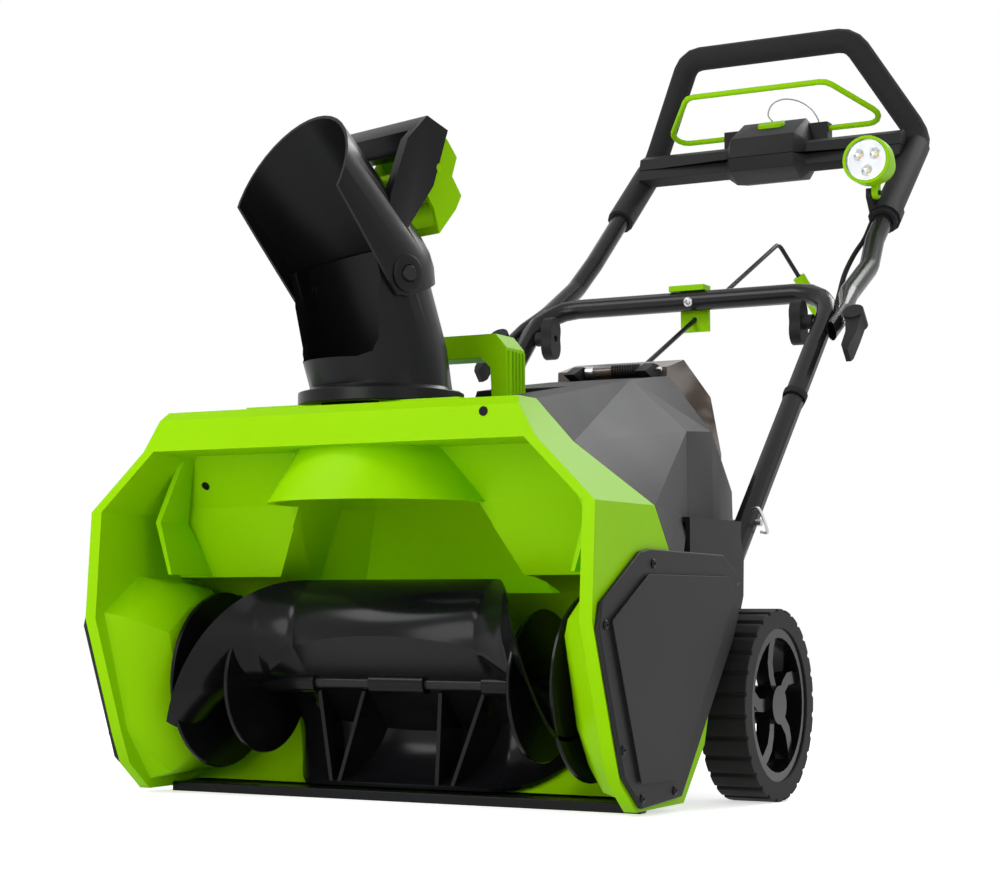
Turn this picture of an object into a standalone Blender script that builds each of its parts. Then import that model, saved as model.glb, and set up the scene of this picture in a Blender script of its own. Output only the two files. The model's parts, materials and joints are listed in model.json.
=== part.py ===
"""Walk-behind battery snow thrower: intake housing with auger, turning chute, wheels and folding handle.

Lengths are metres, +Z is up, the intake faces -Y and the operator stands at +Y. Points are written in the
machine's own frame, with the tyres' lowest points at z = 0 and y = 0 just behind the intake's front edge. The
last lines stand the whole machine on the ground, with the origin under the middle of its box.
"""

import math

import bmesh
import bpy
from mathutils import Matrix, Vector

for old in list(bpy.data.objects):
    bpy.data.objects.remove(old, do_unlink=True)

# Clearances
GAP = 0.0003
RUN_GAP = 0.0005

# Intake housing
HALF_WIDTH = 0.267
SIDE_WALL = 0.012
SIDE_PROUD = 0.002
FLOOR_Z = 0.014
FLOOR_WALL = 0.004
LIP_TOP_Z = 0.374
CEILING_Z = 0.337
SHOULDER_Z = 0.281
LIP_TOP_X = 0.187
LIP_X = 0.209
CHAMFER_WALL = 0.009
LIP_CHAMFER = 0.008
FRONT_EDGE = [(-0.032, 0.366), (-0.038, 0.281), (-0.045, 0.180), (-0.003, 0.069), (0.010, 0.040),
              (0.042, 0.014)]
SEAM_Y = 0.010
SEAM_SLOPE = 0.8
BACK_WALL_TOP_Y = 0.035
BACK_WALL_MID = (0.065, 0.288)
DECK_HALF = 0.115
DECK_REAR_Y = 0.215
DECK_TOP_Z = 0.378
DECK_BOTTOM_Z = 0.350

# Auger and its drive
AUGER_R = 0.096
TROUGH_GAP = 0.005
TROUGH_WALL = 0.004
AUGER_Y = 0.091
AUGER_HALF = 0.206
AUGER_HUB_R = 0.0105
SHAFT_R = 0.0065
END_DISC_R = 0.086
END_DISC_X = 0.203
MID_DISC_R = 0.070
MID_DISC_X = 0.152
DISC_THICK = 0.004
HUB_SPANS = [(-0.206, -0.092), (-0.030, 0.030), (0.092, 0.206)]
BLADE_THICK = 0.004
BLADE_STEPS = 20
TIP_DEG = 88.0
TIP_SWEEP_DEG = 115.0
STRAIGHT_HALF = 0.100
CREASE_LAG_DEG = 47.0
CREASE_R = 0.065
CREASE_HALF = 0.135
RIBS = [(-0.090, -0.074), (-0.040, -0.066), (0.044, 0.042), (0.090, 0.058)]
POD_FACE_X = 0.2125
BEARING_R = 0.016
PULLEY_R = 0.036
MOTOR_PULLEY_R = 0.014
PULLEY_WIDTH = 0.012
BELT_THICK = 0.004
BELT_WIDTH = 0.009
BELT_POCKET_GAP = 0.006
PULLEY_X = 0.250
MOTOR_Y = 0.235
MOTOR_Z = 0.205
MOTOR_R = 0.032
MOTOR_LENGTH = 0.120
MOTOR_SHAFT_R = 0.005
MOTOR_FACE_X = 0.242
BELT_BOX_X = 0.195
BELT_BOX = [(0.2165, 0.120), (0.270, 0.183), (0.266, 0.223), (0.233, 0.240), (0.1185, 0.240)]

# Throat and chute
CHUTE_Y = 0.055
CHUTE_R = 0.067
CHUTE_WALL = 0.0035
CHUTE_LEAN_DEG = 20.0
CHUTE_TURN_DEG = -18.0
CHUTE_LEAN_Z = 0.405
CHUTE_SIDES = 28
RING_R = 0.078
RING_HEIGHT = 0.012
SKIRT_BOTTOM_R = 0.106
SKIRT_BOTTOM_Z = 0.287
SKIRT_WALL = 0.006
THROAT_BOTTOM_Z = 0.204
THROAT_HALF = 0.143
THROAT_REAR_Y = 0.200
CUTOUT_BOTTOM_Z = 0.418

# Deflector
PIVOT_RISE = 0.0935
HOOD_GAP = 0.0045
HOOD_WALL = 0.003
HOOD_AIM_DEG = 46.0
HOOD_SIDE_REACH = 0.108
HOOD_TOP_REACH = 0.137
HOOD_CHEEK_DROP = 0.020
PIVOT_PIN_R = 0.004
PIVOT_BOSS_R = 0.013
GRIP_PLATE = [(0.004, 0.530), (0.028, 0.533), (0.062, 0.580), (0.080, 0.635), (0.054, 0.645), (0.030, 0.620),
              (0.010, 0.566)]
GRIP_PLATE_X = 0.060
GRIP_PLATE_THICK = 0.010
GRIP_BAR = [(0.040, 0.6305), (0.054, 0.645), (0.079, 0.636), (0.073, 0.615), (0.052, 0.614)]
TRIGGER_PIN_YZ = (0.070, 0.598)
TRIGGER_HALF = 0.048
TRIGGER_PIN_R = 0.004
TRIGGER_SIDE = [(0.084, 0.612), (0.094, 0.632), (0.107, 0.616), (0.101, 0.597), (0.113, 0.580),
                (0.106, 0.566),
                (0.0850, 0.5405), (0.078, 0.563), (0.063, 0.584)]
TRIGGER_HOLLOW = [(0.058, 0.640), (0.090, 0.622), (0.100, 0.612), (0.094, 0.598), (0.105, 0.578),
                  (0.098, 0.564),
                  (0.086, 0.551), (0.060, 0.530)]
TRIGGER_WALL = 0.004

# Motor housing, upper cover, lid and battery
REAR_SEAM_Y = 0.300
COVER_SEAM_Z = 0.278
SHELL_WALL = 0.005
BODY_REAR_Y = 0.388
BODY_HALF_LOW = 0.200
BODY_HALF_HIGH = 0.228
BODY_BOTTOM_Z = 0.065
COVER_REAR_Y = 0.560
HUMP_LEFT_X = 0.004
HUMP_RIGHT_X = 0.143
HUMP_FRONT_Y = 0.400
HUMP_FRONT_Z = 0.433
HUMP_REAR_Z = 0.350
LID_WALL = 0.0025
LID_FRONT_Y = 0.411
LID_SIDE_INSET = 0.003
LID_CREST = [(0.5620, 0.360), (0.532, 0.422), (0.457, 0.4565), (0.412, 0.4445)]
LID_HINGE_YZ = (0.400, 0.4410)
LID_PIN_R = 0.0022
LID_BARREL_R = 0.0052
LID_BRACKET_X = [0.040, 0.123]
LID_BRACKET_WIDTH = 0.012
BATTERY_X = (0.020, 0.124)
BATTERY_Y = (0.414, 0.542)
BATTERY_SINK = 0.006

# Side covers and scraper
SIDE_OUTLINE = [(0.064, 0.242), (0.043, 0.239), (-0.036, 0.195), (-0.042, 0.173), (-0.002, 0.069),
                (0.007, 0.046),
                (0.044, 0.017), (0.130, 0.021), (0.256, 0.160), (0.270, 0.183), (0.266, 0.223),
                (0.233, 0.240)]
SIDE_PANEL = [(0.054, 0.217), (-0.020, 0.178), (0.036, 0.042), (0.116, 0.040), (0.246, 0.200), (0.237, 0.217)]
SIDE_PLATE = 0.005
SIDE_PANEL_RISE = 0.0035
SCRAPER_Y = (0.078, 0.145)
SCRAPER_DROP = 0.005
SCRAPER_LIP = 0.012

# Carry handle
CARRY_Y = (0.155, 0.193)
CARRY_HALF = 0.082
CARRY_TOP_Z = 0.455
CARRY_POST = 0.018
CARRY_GRIP = 0.023
CARRY_CORNER = 0.014

# Wheels
WHEEL_Y = 0.338
WHEEL_R = 0.0945
RIM_R = 0.075
RIM_BAND = 0.009
WHEEL_OUT_X = 0.288
TYRE_WIDTH = 0.048
AXLE_R = 0.0078
HUB_R = 0.019
TREAD_BLOCKS = 28
TREAD_DEPTH = 0.003
SPOKES = 5
SPOKE_WIDTH = 0.013
SPOKE_BEND = 0.012

# Handle tubes
TUBE_R = 0.0125
TUBE_WALL = 0.0014
TUBE_SIDES = 12
LEG_X = 0.197
LEG_FOOT = (0.399, 0.2012)
LEG_TOP = (0.778, 0.569)
LEG_BEND_R = 0.050
FOLD_YZ = (0.735, 0.5275)
UPPER_X = 0.2035
FOOT_X = 0.2162
FOOT_HALF = 0.006
UPPER_FOOT = (0.706, 0.511)
FOOT_TOP = (0.757, 0.540)
UPPER_START = (0.806, 0.5685)
UPPER_BEND = (0.885, 0.612)
UPPER_IN = (0.928, 0.652)
SHOULDER_YZ = (1.132, 0.825)
TOP_BAR = (0.119, 1.078, 0.958)
TOP_BEND_R = 0.030
FOAM_START = 0.025
FOAM_R = 0.0165
SLEEVE_R = 0.0185
SLEEVE_FOOT_Y = {"left": 1.013, "right": 0.964}
BOLT_R = 0.004
KNOB_R = 0.027
KNOB_WAIST_R = 0.013
KNOB_X = (0.158, 0.172)
KNOB_HUB_R = 0.009
CAM_X = FOOT_X + FOOT_HALF + 0.0135
CAM_R = 0.0125
CAM_WIDTH = 0.024
CAM_ARM = 0.070
BRACKET_X = (0.1805, 0.2155)
BRACKET_PROFILE = [(0.412, 0.178), (0.425, 0.202), (0.427, 0.246), (0.416, 0.262)]
LEG_PIN_YZ = (0.480, 0.2798)
LEG_PIN_REACH = 0.018
LEG_PIN_R = 0.004

# Switch housing, bail, button and tether
PARTING_Z = 0.8042
ARM_LOWER = [(1.062, 0.804), (1.060, 0.790), (1.074, 0.781), (1.098, 0.786), (1.105, 0.804)]
BOX_LOWER = [(1.043, 0.804), (1.047, 0.786), (1.074, 0.772), (1.112, 0.778), (1.126, 0.804)]
ARM_UPPER = [(1.062, 0.8045), (1.066, 0.820), (1.082, 0.827), (1.098, 0.825), (1.105, 0.8045)]
BOX_UPPER = [(1.043, 0.8045), (1.050, 0.832), (1.100, 0.862), (1.128, 0.856), (1.126, 0.8045)]
BOX_HALF = 0.046
BOX_SHOULDER = 0.012
ARM_END_X = 0.190
SWITCH_WALL = 0.0025
SWITCH_HOLLOW_X = 0.166
BAIL_YZ = (1.110, 0.847)
BAIL_R = 0.004
BAIL_END_X = 0.058
BAIL_CORNER_X = 0.166
BAIL_TOP = (0.101, 1.026, 0.891)
BAIL_BEND_R = 0.018
TAB_X = (0.044, 0.076)
TAB_HALF_Y = 0.010
TAB_TOP_Z = 0.8545
BUTTON_HALF = 0.020
BUTTON_ALONG = 0.009
BUTTON_PROUD = 0.004
BUTTON_SINK = 0.004
BUTTON_TRAVEL = 0.003
BUTTON_UP_SLOPE = 0.70
TETHER_R = 0.0010
TETHER_POINTS = [(-0.002, 1.0966, 0.8612), (-0.006, 1.0890, 0.8700), (0.002, 1.0850, 0.8830),
                 (0.018, 1.0880, 0.8890), (0.036, 1.0970, 0.8860), (0.050, 1.1060, 0.8760),
                 (0.057, 1.1130, 0.8640), (0.0590, 1.1165, 0.8553)]

# Headlight
LAMP_X = 0.190
LAMP_Z = 0.756
LAMP_FACE_Y = 0.918
LAMP_REAR_Y = 0.976
LAMP_R = 0.031
LAMP_REAR_R = 0.021
LENS_R = 0.0265
LAMP_PIVOT_YZ = (0.957, 0.7195)
LAMP_LUG_R = 0.008
LAMP_LUG_X = (0.1865, 0.1945)
LAMP_EAR_X = (0.1785, 0.1862)
LAMP_PIN_R = 0.003
COLLAR_HALF = 0.011
COLLAR_WALL = 0.003

# Crank and chute drive
CRANK_AT_GUIDE = (0.008, 0.797, 0.550)
CRANK_SLOPE = (0.092, 1.0, 0.546)
CRANK_FOOT_Y = 0.516
CROSS_JOINT_GAP = 0.003
CRANK_BEND_Y = 1.031
CRANK_R = 0.003
CRANK_BEND_R = 0.008
CRANK_ARM = 0.118
CRANK_LEAN = 0.37
CRANK_GRIP_START = 0.052
CRANK_GRIP_R = 0.011
GUIDE_X = (-0.011, 0.027)
GUIDE_Z = (0.532, 0.588)
GUIDE_THICK = 0.005
PINION_R = 0.010
PINION_LENGTH = 0.014
PINION_SHAFT_R = 0.003
PINION_RISE = 0.014
CRANK_BRACKET_Y = (0.480, 0.496)
CRANK_BRACKET_HALF = 0.012

# Power cable
CABLE_R = 0.0033
CABLE_LOWER = [(0.150, 0.3890, 0.240), (0.150, 0.4150, 0.241), (0.154, 0.4420, 0.243), (0.163, 0.4780, 0.248),
               (0.170, 0.5230, 0.272), (0.174, 0.5700, 0.322), (0.178, 0.6200, 0.374), (0.184, 0.6700, 0.425),
               (0.189, 0.7150, 0.4690), (0.190, 0.7484, 0.5024), (0.189, 0.7760, 0.5250),
               (0.1842, 0.8114, 0.5496)]
CABLE_UPPER = [(0.184, 0.8120, 0.5500), (0.177, 0.8500, 0.5770), (0.172, 0.8850, 0.6060),
               (0.174, 0.9150, 0.6340), (0.180, 0.9400, 0.6580), (0.1815, 0.9632, 0.6816)]

SCENE = bpy.context.scene
X_AXIS = Vector((1.0, 0.0, 0.0))
Y_AXIS = Vector((0.0, 1.0, 0.0))
Z_AXIS = Vector((0.0, 0.0, 1.0))

# Values that follow from the driving dimensions
TROUGH_R = AUGER_R + TROUGH_GAP
AUGER_Z = FLOOR_Z + FLOOR_WALL + TROUGH_R
CLEAR_HALF = HALF_WIDTH - SIDE_WALL
CHUTE_BORE_R = CHUTE_R - CHUTE_WALL
RING_TOP_Z = DECK_TOP_Z + GAP + RING_HEIGHT
LEAN = math.radians(CHUTE_LEAN_DEG)
CHUTE_UP = Vector((0.0, -math.sin(LEAN), math.cos(LEAN)))
CHUTE_BEND = Vector((0.0, CHUTE_Y, CHUTE_LEAN_Z))
PIVOT = CHUTE_BEND + CHUTE_UP * PIVOT_RISE
HOOD_IN_R = CHUTE_R + HOOD_GAP
HOOD_R = HOOD_IN_R + HOOD_WALL
AIM = math.radians(HOOD_AIM_DEG)
HOOD_OUT = Vector((0.0, -math.sin(AIM), math.cos(AIM)))
HOOD_UP = Vector((0.0, math.cos(AIM), math.sin(AIM)))
SIDE_X = HALF_WIDTH + GAP
CRANK_DIR = Vector(CRANK_SLOPE).normalized()
PINION_Z = DECK_TOP_Z + PINION_RISE
LEG_DIR = Vector((0.0, LEG_TOP[0] - LEG_FOOT[0], LEG_TOP[1] - LEG_FOOT[1])).normalized()
SLEEVE_DIR = Vector((0.0, SHOULDER_YZ[0] - UPPER_IN[0], SHOULDER_YZ[1] - UPPER_IN[1])).normalized()


# The machine leans forwards by this angle until the scraper's front edge stands on the ground with the tyres
EDGE_FROM_AXLE = Vector((SCRAPER_Y[0] - WHEEL_Y, FLOOR_Z - SCRAPER_DROP - WHEEL_R))
STANCE = math.asin(WHEEL_R / EDGE_FROM_AXLE.length) - math.pi - math.atan2(EDGE_FROM_AXLE.y, EDGE_FROM_AXLE.x)

# A round cutter of 24 sides is made this much larger, so that its flats clear a round piece inside it
ROUND_ROOM = 1 / math.cos(math.pi / 24)

# A bend in a tube is drawn as short chords of about this angle
ARC_STEP = math.radians(24)


# Materials
def finish(name, colour, roughness, metallic=0.0):
    made = bpy.data.materials.new(name)
    made.use_nodes = True
    shader = made.node_tree.nodes["Principled BSDF"]
    shader.inputs["Base Color"].default_value = (*colour, 1.0)
    shader.inputs["Roughness"].default_value = roughness
    shader.inputs["Metallic"].default_value = metallic
    return made


GREEN = finish("lime plastic", (0.30, 0.72, 0.0), 0.45)
CHARCOAL = finish("charcoal textured plastic", (0.045, 0.045, 0.05), 0.6)
GLOSS_BLACK = finish("gloss black plastic", (0.012, 0.012, 0.013), 0.25)
BLACK_TUBE = finish("black coated steel tube", (0.015, 0.015, 0.016), 0.3)
FOAM = finish("black foam", (0.02, 0.02, 0.021), 0.9)
RUBBER = finish("black rubber", (0.02, 0.02, 0.02), 0.8)
STEEL = finish("bright steel", (0.6, 0.6, 0.62), 0.35, 1.0)
SMOKE = finish("smoked clear plastic", (0.24, 0.18, 0.14), 0.2)
CLEAR = finish("clear lens", (0.9, 0.92, 0.93), 0.1)
SILVER = finish("silvered reflector", (0.8, 0.8, 0.82), 0.2, 1.0)


# Bodies: an empty on each joint's axis, with its pieces parented to it
class Body:
    def __init__(self, name, parent, at, turn=0.0):
        self.at = Vector(at)
        self.empty = bpy.data.objects.new(name, None)
        SCENE.collection.objects.link(self.empty)
        if parent:
            self.empty.parent = parent.empty
            self.empty.location = self.at - parent.at
        self.empty.rotation_euler.z = turn

    def place(self, name, mesh, material=None):
        made = bpy.data.objects.new(name, mesh)
        SCENE.collection.objects.link(made)
        made.parent = self.empty
        made.location = -self.at
        if material:
            mesh.materials.append(material)
            mesh.shade_smooth()
            mesh.set_sharp_from_angle(angle=math.radians(32))
        else:
            made.hide_render = True
            made.display_type = "WIRE"
        return made


# Shapes
def solid(points, faces):
    """A mesh with its doubles merged, its bent faces split into triangles and its faces turned outwards."""
    mesh = bpy.data.meshes.new("solid")
    mesh.from_pydata([tuple(p) for p in points], [], faces)
    work = bmesh.new()
    work.from_mesh(mesh)
    bmesh.ops.remove_doubles(work, verts=work.verts, dist=1e-6)
    work.normal_update()
    bent = [f for f in work.faces if max(abs(f.normal.dot(v.co - f.verts[0].co)) for v in f.verts) > 1e-7]
    bmesh.ops.triangulate(work, faces=bent)
    bmesh.ops.recalc_face_normals(work, faces=work.faces)
    work.to_mesh(mesh)
    work.free()
    return mesh


def loft(rings):
    """Rings of equal length joined in order, with the first and last closed."""
    count = len(rings[0])
    points = [p for ring in rings for p in ring]
    faces = [list(range(count)), [count * (len(rings) - 1) + i for i in range(count)]]
    for row in range(len(rings) - 1):
        for i in range(count):
            j = (i + 1) % count
            faces.append([row * count + i, row * count + j, (row + 1) * count + j, (row + 1) * count + i])
    return solid(points, faces)


def across(outline, x):
    return [Vector((x, y, z)) for y, z in outline]


def prism_x(outline, low, high):
    return loft([across(outline, low), across(outline, high)])


def prism_y(outline, low, high):
    return loft([[Vector((x, low, z)) for x, z in outline], [Vector((x, high, z)) for x, z in outline]])


def box(low, high):
    return prism_x([(low[1], low[2]), (high[1], low[2]), (high[1], high[2]), (low[1], high[2])], low[0],
                   high[0])


def frame_of(direction):
    """Two unit vectors square to a direction: the first is level, and is -X for an upright one."""
    side = direction.cross(Z_AXIS)
    if side.length < 1e-6:
        side = -X_AXIS
    side.normalize()
    return side, side.cross(direction).normalized()


def circle(centre, direction, radius, sides, start=0.0):
    side, up = frame_of(direction.normalized())
    angles = [start + math.tau * i / sides for i in range(sides)]
    return [centre + side * (radius * math.cos(a)) + up * (radius * math.sin(a)) for a in angles]


def rod(start, end, radius, sides=16):
    start, end = Vector(start), Vector(end)
    return loft([circle(start, end - start, radius, sides), circle(end, end - start, radius, sides)])


def rod_x(x0, x1, yz, radius, sides=16):
    return rod((x0, *yz), (x1, *yz), radius, sides)


def turned(profile, centre, direction, sides):
    """A closed outline of (distance along the axis, radius) turned round the axis."""
    direction = direction.normalized()
    rings = [circle(centre + direction * h, direction, max(r, 1e-7), sides) for h, r in profile]
    points = [p for ring in rings for p in ring]
    count = len(rings)
    faces = []
    for row in range(count):
        below, above = row * sides, (row + 1) % count * sides
        for i in range(sides):
            j = (i + 1) % sides
            faces.append([below + i, below + j, above + j, above + i])
    mesh = bpy.data.meshes.new("turned")
    mesh.from_pydata([tuple(p) for p in points], [], faces)
    work = bmesh.new()
    work.from_mesh(mesh)
    bmesh.ops.remove_doubles(work, verts=work.verts, dist=1e-6)
    flat = [f for f in work.faces if f.calc_area() < 1e-12]
    bmesh.ops.delete(work, geom=flat, context="FACES")
    loose = [e for e in work.edges if not e.link_faces]
    bmesh.ops.delete(work, geom=loose, context="EDGES")
    bmesh.ops.recalc_face_normals(work, faces=work.faces)
    work.to_mesh(mesh)
    work.free()
    return mesh


def tube_ring(x0, x1, yz, inner, outer, sides=24):
    profile = [(0.0, inner), (0.0, outer), (x1 - x0, outer), (x1 - x0, inner)]
    return turned(profile, Vector((x0, *yz)), X_AXIS, sides)


def rounded(points, radius):
    """A path whose inner corners become arcs of one radius."""
    points = [Vector(p) for p in points]
    path = [points[0]]
    for before, corner, after in zip(points, points[1:], points[2:]):
        a, b = (before - corner).normalized(), (after - corner).normalized()
        half = a.angle(b) / 2
        steps = max(1, round((math.pi - 2 * half) / ARC_STEP))
        reach = radius / math.tan(half)
        middle = corner + (a + b).normalized() * (radius / math.sin(half))
        start, end = corner + a * reach - middle, corner + b * reach - middle
        for i in range(steps + 1):
            path.append(middle + start.slerp(end, i / steps) * radius)
    return path + [points[-1]]


def smooth(points, step):
    """Points about one step apart on a smooth curve through the given points."""
    points = [Vector(p) for p in points]
    padded = [2 * points[0] - points[1]] + points + [2 * points[-1] - points[-2]]
    path = []
    for a, b, c, d in zip(padded, padded[1:], padded[2:], padded[3:]):
        count = max(1, round((c - b).length / step))
        for i in range(count):
            t = i / count
            path.append(0.5 * (2 * b + (c - a) * t + (2 * a - 5 * b + 4 * c - d) * t**2
                               + (3 * b - a - 3 * c + d) * t**3))
    return path + [points[-1]]


def sections(path, radius, sides):
    """Circles square to a path, turned from one to the next without twist."""
    tangents = [(b - a).normalized() for a, b in zip(path, path[1:])]
    side, _ = frame_of(tangents[0])
    rings = []
    for i, point in enumerate(path):
        before, after = tangents[max(0, i - 1)], tangents[min(i, len(tangents) - 1)]
        along = (before + after).normalized()
        side = (side - along * side.dot(along)).normalized()
        up = along.cross(side)
        stretch = 1.0 / max(0.5, along.dot(after))
        bend = (after - before)
        bend = bend.normalized() if bend.length > 1e-6 else None
        ring = []
        for k in range(sides):
            angle = math.tau * (k + 0.5) / sides
            offset = side * (radius * math.cos(angle)) + up * (radius * math.sin(angle))
            if bend:
                inward = (bend - along * bend.dot(along)).normalized()
                offset += inward * (offset.dot(inward) * (stretch - 1.0))
            ring.append(point + offset)
        rings.append(ring)
    return rings


def pipe(path, radius, sides=TUBE_SIDES):
    return loft(sections(path, radius, sides))


def looped(rings):
    """Rings of equal length joined in order and round again: the outside of a tube and then its inside."""
    count, sides = len(rings), len(rings[0])
    faces = []
    for row in range(count):
        below, above = row * sides, (row + 1) % count * sides
        for i in range(sides):
            j = (i + 1) % sides
            faces.append([below + i, below + j, above + j, above + i])
    return solid([p for ring in rings for p in ring], faces)


def hollow_pipe(path, inner, outer, sides=TUBE_SIDES):
    return looped(sections(path, outer, sides) + sections(path, inner, sides)[::-1])


def inset(outline, by):
    """A closed outline, listed anticlockwise, with every side moved inwards by one distance."""
    points = [Vector(p) for p in outline]
    made = []
    for i, point in enumerate(points):
        into = (point - points[i - 1]).normalized()
        out = (points[(i + 1) % len(points)] - point).normalized()
        n0, n1 = Vector((-into.y, into.x)), Vector((-out.y, out.x))
        mid = (n0 + n1).normalized()
        made.append(tuple(point + mid * (by / max(0.3, mid.dot(n0)))))
    return made


def change(piece, operation, others):
    for other in others:
        step = piece.modifiers.new(operation.lower(), "BOOLEAN")
        step.operation = operation
        step.object = other


def cut(piece, *tools):
    change(piece, "DIFFERENCE", tools)


def join(piece, *tools):
    change(piece, "UNION", tools)


def keep(piece, *tools):
    change(piece, "INTERSECT", tools)


def mirrored(points):
    """A right half listed from the bottom up, closed by its mirror image."""
    return points + [(-x, z) for x, z in reversed(points)]


BASE = Body("base_axis", None, (0, 0, 0))
AUGER = Body("auger_axis", BASE, (0, AUGER_Y, AUGER_Z))
MOTOR = Body("motor_axis", BASE, (0, MOTOR_Y, MOTOR_Z))
CHUTE = Body("chute_axis", BASE, (0, CHUTE_Y, DECK_TOP_Z), math.radians(CHUTE_TURN_DEG))
DEFLECTOR = Body("deflector_axis", CHUTE, PIVOT)
TRIGGER = Body("trigger_axis", DEFLECTOR, (0, *TRIGGER_PIN_YZ))
LID = Body("lid_axis", BASE, (0, *LID_HINGE_YZ))
HANDLE = Body("fold_axis", BASE, (0, *FOLD_YZ))
BAIL = Body("bail_axis", HANDLE, (0, *BAIL_YZ))
LAMP = Body("lamp_axis", HANDLE, (LAMP_X, *LAMP_PIVOT_YZ))
WHEELS = {"left": Body("wheel_left_axis", BASE, (-WHEEL_OUT_X, WHEEL_Y, WHEEL_R)),
          "right": Body("wheel_right_axis", BASE, (WHEEL_OUT_X, WHEEL_Y, WHEEL_R))}
SIDES = {"left": -1, "right": 1}
AUGER_YZ = (AUGER_Y, AUGER_Z)
MOTOR_YZ = (MOTOR_Y, MOTOR_Z)


# Intake housing: side profile with chamfered shoulders, hollowed by the intake, the trough and the throat
def seam_y(z):
    return SEAM_Y + (LIP_TOP_Z - z) * SEAM_SLOPE


def belt_pocket(radius_more):
    """The outline round both pulleys, this far outside the belt."""
    big = PULLEY_R + BELT_THICK + radius_more
    small = MOTOR_PULLEY_R + BELT_THICK + radius_more
    line = Vector((MOTOR_Y - AUGER_Y, MOTOR_Z - AUGER_Z))
    heading = math.atan2(line.y, line.x)
    open_angle = math.acos((big - small) / line.length)
    outline = []
    for i in range(15):
        a = heading + open_angle + (math.tau - 2 * open_angle) * i / 14
        outline.append((AUGER_Y + big * math.cos(a), AUGER_Z + big * math.sin(a)))
    for i in range(9):
        a = heading - open_angle + 2 * open_angle * i / 8
        outline.append((MOTOR_Y + small * math.cos(a), MOTOR_Z + small * math.sin(a)))
    return outline


def make_intake_housing():
    low_seam_y = seam_y(AUGER_Z)
    profile = [(FRONT_EDGE[0][0] + LIP_CHAMFER, LIP_TOP_Z), *FRONT_EDGE, (0.145, FLOOR_Z),
               (0.195, AUGER_Z - 0.055),
               (low_seam_y, AUGER_Z), (SEAM_Y, LIP_TOP_Z)]
    housing = BASE.place("auger_housing", prism_x(profile, -HALF_WIDTH, HALF_WIDTH), GREEN)
    for sign in SIDES.values():
        corner = [(LIP_TOP_X, LIP_TOP_Z + 0.06), (LIP_TOP_X, LIP_TOP_Z), (LIP_X, CEILING_Z),
                  (HALF_WIDTH, SHOULDER_Z),
                  (HALF_WIDTH + 0.05, SHOULDER_Z), (HALF_WIDTH + 0.05, LIP_TOP_Z + 0.06)]
        cut(housing, BASE.place("shoulder_cutter", prism_y([(sign * x, z) for x, z in corner], -0.2, 0.4)))
    trough_back = BASE.place("trough_back", rod_x(-POD_FACE_X - 0.01, POD_FACE_X + 0.01, AUGER_YZ,
                                                  TROUGH_R + TROUGH_WALL, 40))
    deck = BASE.place("deck", box((-DECK_HALF, 0.0, DECK_BOTTOM_Z), (DECK_HALF, DECK_REAR_Y, DECK_TOP_Z)))
    wall = 0.006
    duct = BASE.place("duct", loft([
        [Vector((x, y, THROAT_BOTTOM_Z - wall)) for x, y in throat_plan(THROAT_HALF + wall,
                                                                        THROAT_REAR_Y + wall)],
        [Vector((x, y, SKIRT_BOTTOM_Z + wall)) for x, y in throat_plan(SKIRT_BOTTOM_R + wall, 0.172)],
        [Vector((x, y, DECK_BOTTOM_Z + wall)) for x, y in throat_plan(CHUTE_R + 2 * wall, 0.138)]]))
    join(housing, trough_back, deck, duct)
    cut(housing, make_intake_cutter())
    skirt = BASE.place("skirt", turned([(0.0, 0.0), (0.0, SKIRT_BOTTOM_R),
                                        (CEILING_Z + 0.008 - SKIRT_BOTTOM_Z, 0.073),
                                        (CEILING_Z + 0.008 - SKIRT_BOTTOM_Z, 0.0)],
                                       Vector((0, CHUTE_Y, SKIRT_BOTTOM_Z)), Z_AXIS, CHUTE_SIDES))
    join(housing, skirt, *[make_pod(sign) for sign in SIDES.values()],
         *[make_rib(sign) for sign in SIDES.values()])
    throat = BASE.place("throat_cutter", loft([
        [Vector((x, y, THROAT_BOTTOM_Z)) for x, y in throat_plan(THROAT_HALF, THROAT_REAR_Y, 0.070)],
        [Vector((x, y, SKIRT_BOTTOM_Z)) for x, y in throat_plan(SKIRT_BOTTOM_R - 0.008, 0.166, 0.056)],
        [Vector((x, y, DECK_BOTTOM_Z)) for x, y in throat_plan(0.045, 0.10, 0.056)]]))
    bore = BASE.place("chute_bore", turned([(-0.02, 0.0), (-0.02, SKIRT_BOTTOM_R - SKIRT_WALL + 0.012),
                                            (0.0, SKIRT_BOTTOM_R - SKIRT_WALL),
                                            (CEILING_Z - SKIRT_BOTTOM_Z, CHUTE_BORE_R), (0.15, CHUTE_BORE_R),
                                            (0.15, 0.0)],
                                           Vector((0, CHUTE_Y, SKIRT_BOTTOM_Z)), Z_AXIS, CHUTE_SIDES))
    pocket = BASE.place("belt_pocket", prism_x(belt_pocket(BELT_POCKET_GAP), PULLEY_X - 0.004,
                                               HALF_WIDTH + 0.05))
    bearing_hole = BASE.place("bearing_holes", rod_x(-PULLEY_X, PULLEY_X + 0.005, AUGER_YZ, BEARING_R + GAP,
                                                     24))
    scraper_slot = BASE.place("scraper_slot", box((-CLEAR_HALF, -0.2, -0.01),
                                                  (CLEAR_HALF, SCRAPER_Y[1] + GAP,
                                                   FLOOR_Z + FLOOR_WALL + 0.002)))
    cut(housing, throat, bore, pocket, bearing_hole, scraper_slot)


def throat_plan(half, rear, front=0.062):
    """Half-round rear corners would add faces for little: the throat's plan is a box with cut corners."""
    corner = 0.25 * half
    return [(-half, front), (half, front), (half, rear - corner), (half - corner, rear),
            (corner - half, rear),
            (-half, rear - corner)]


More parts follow.
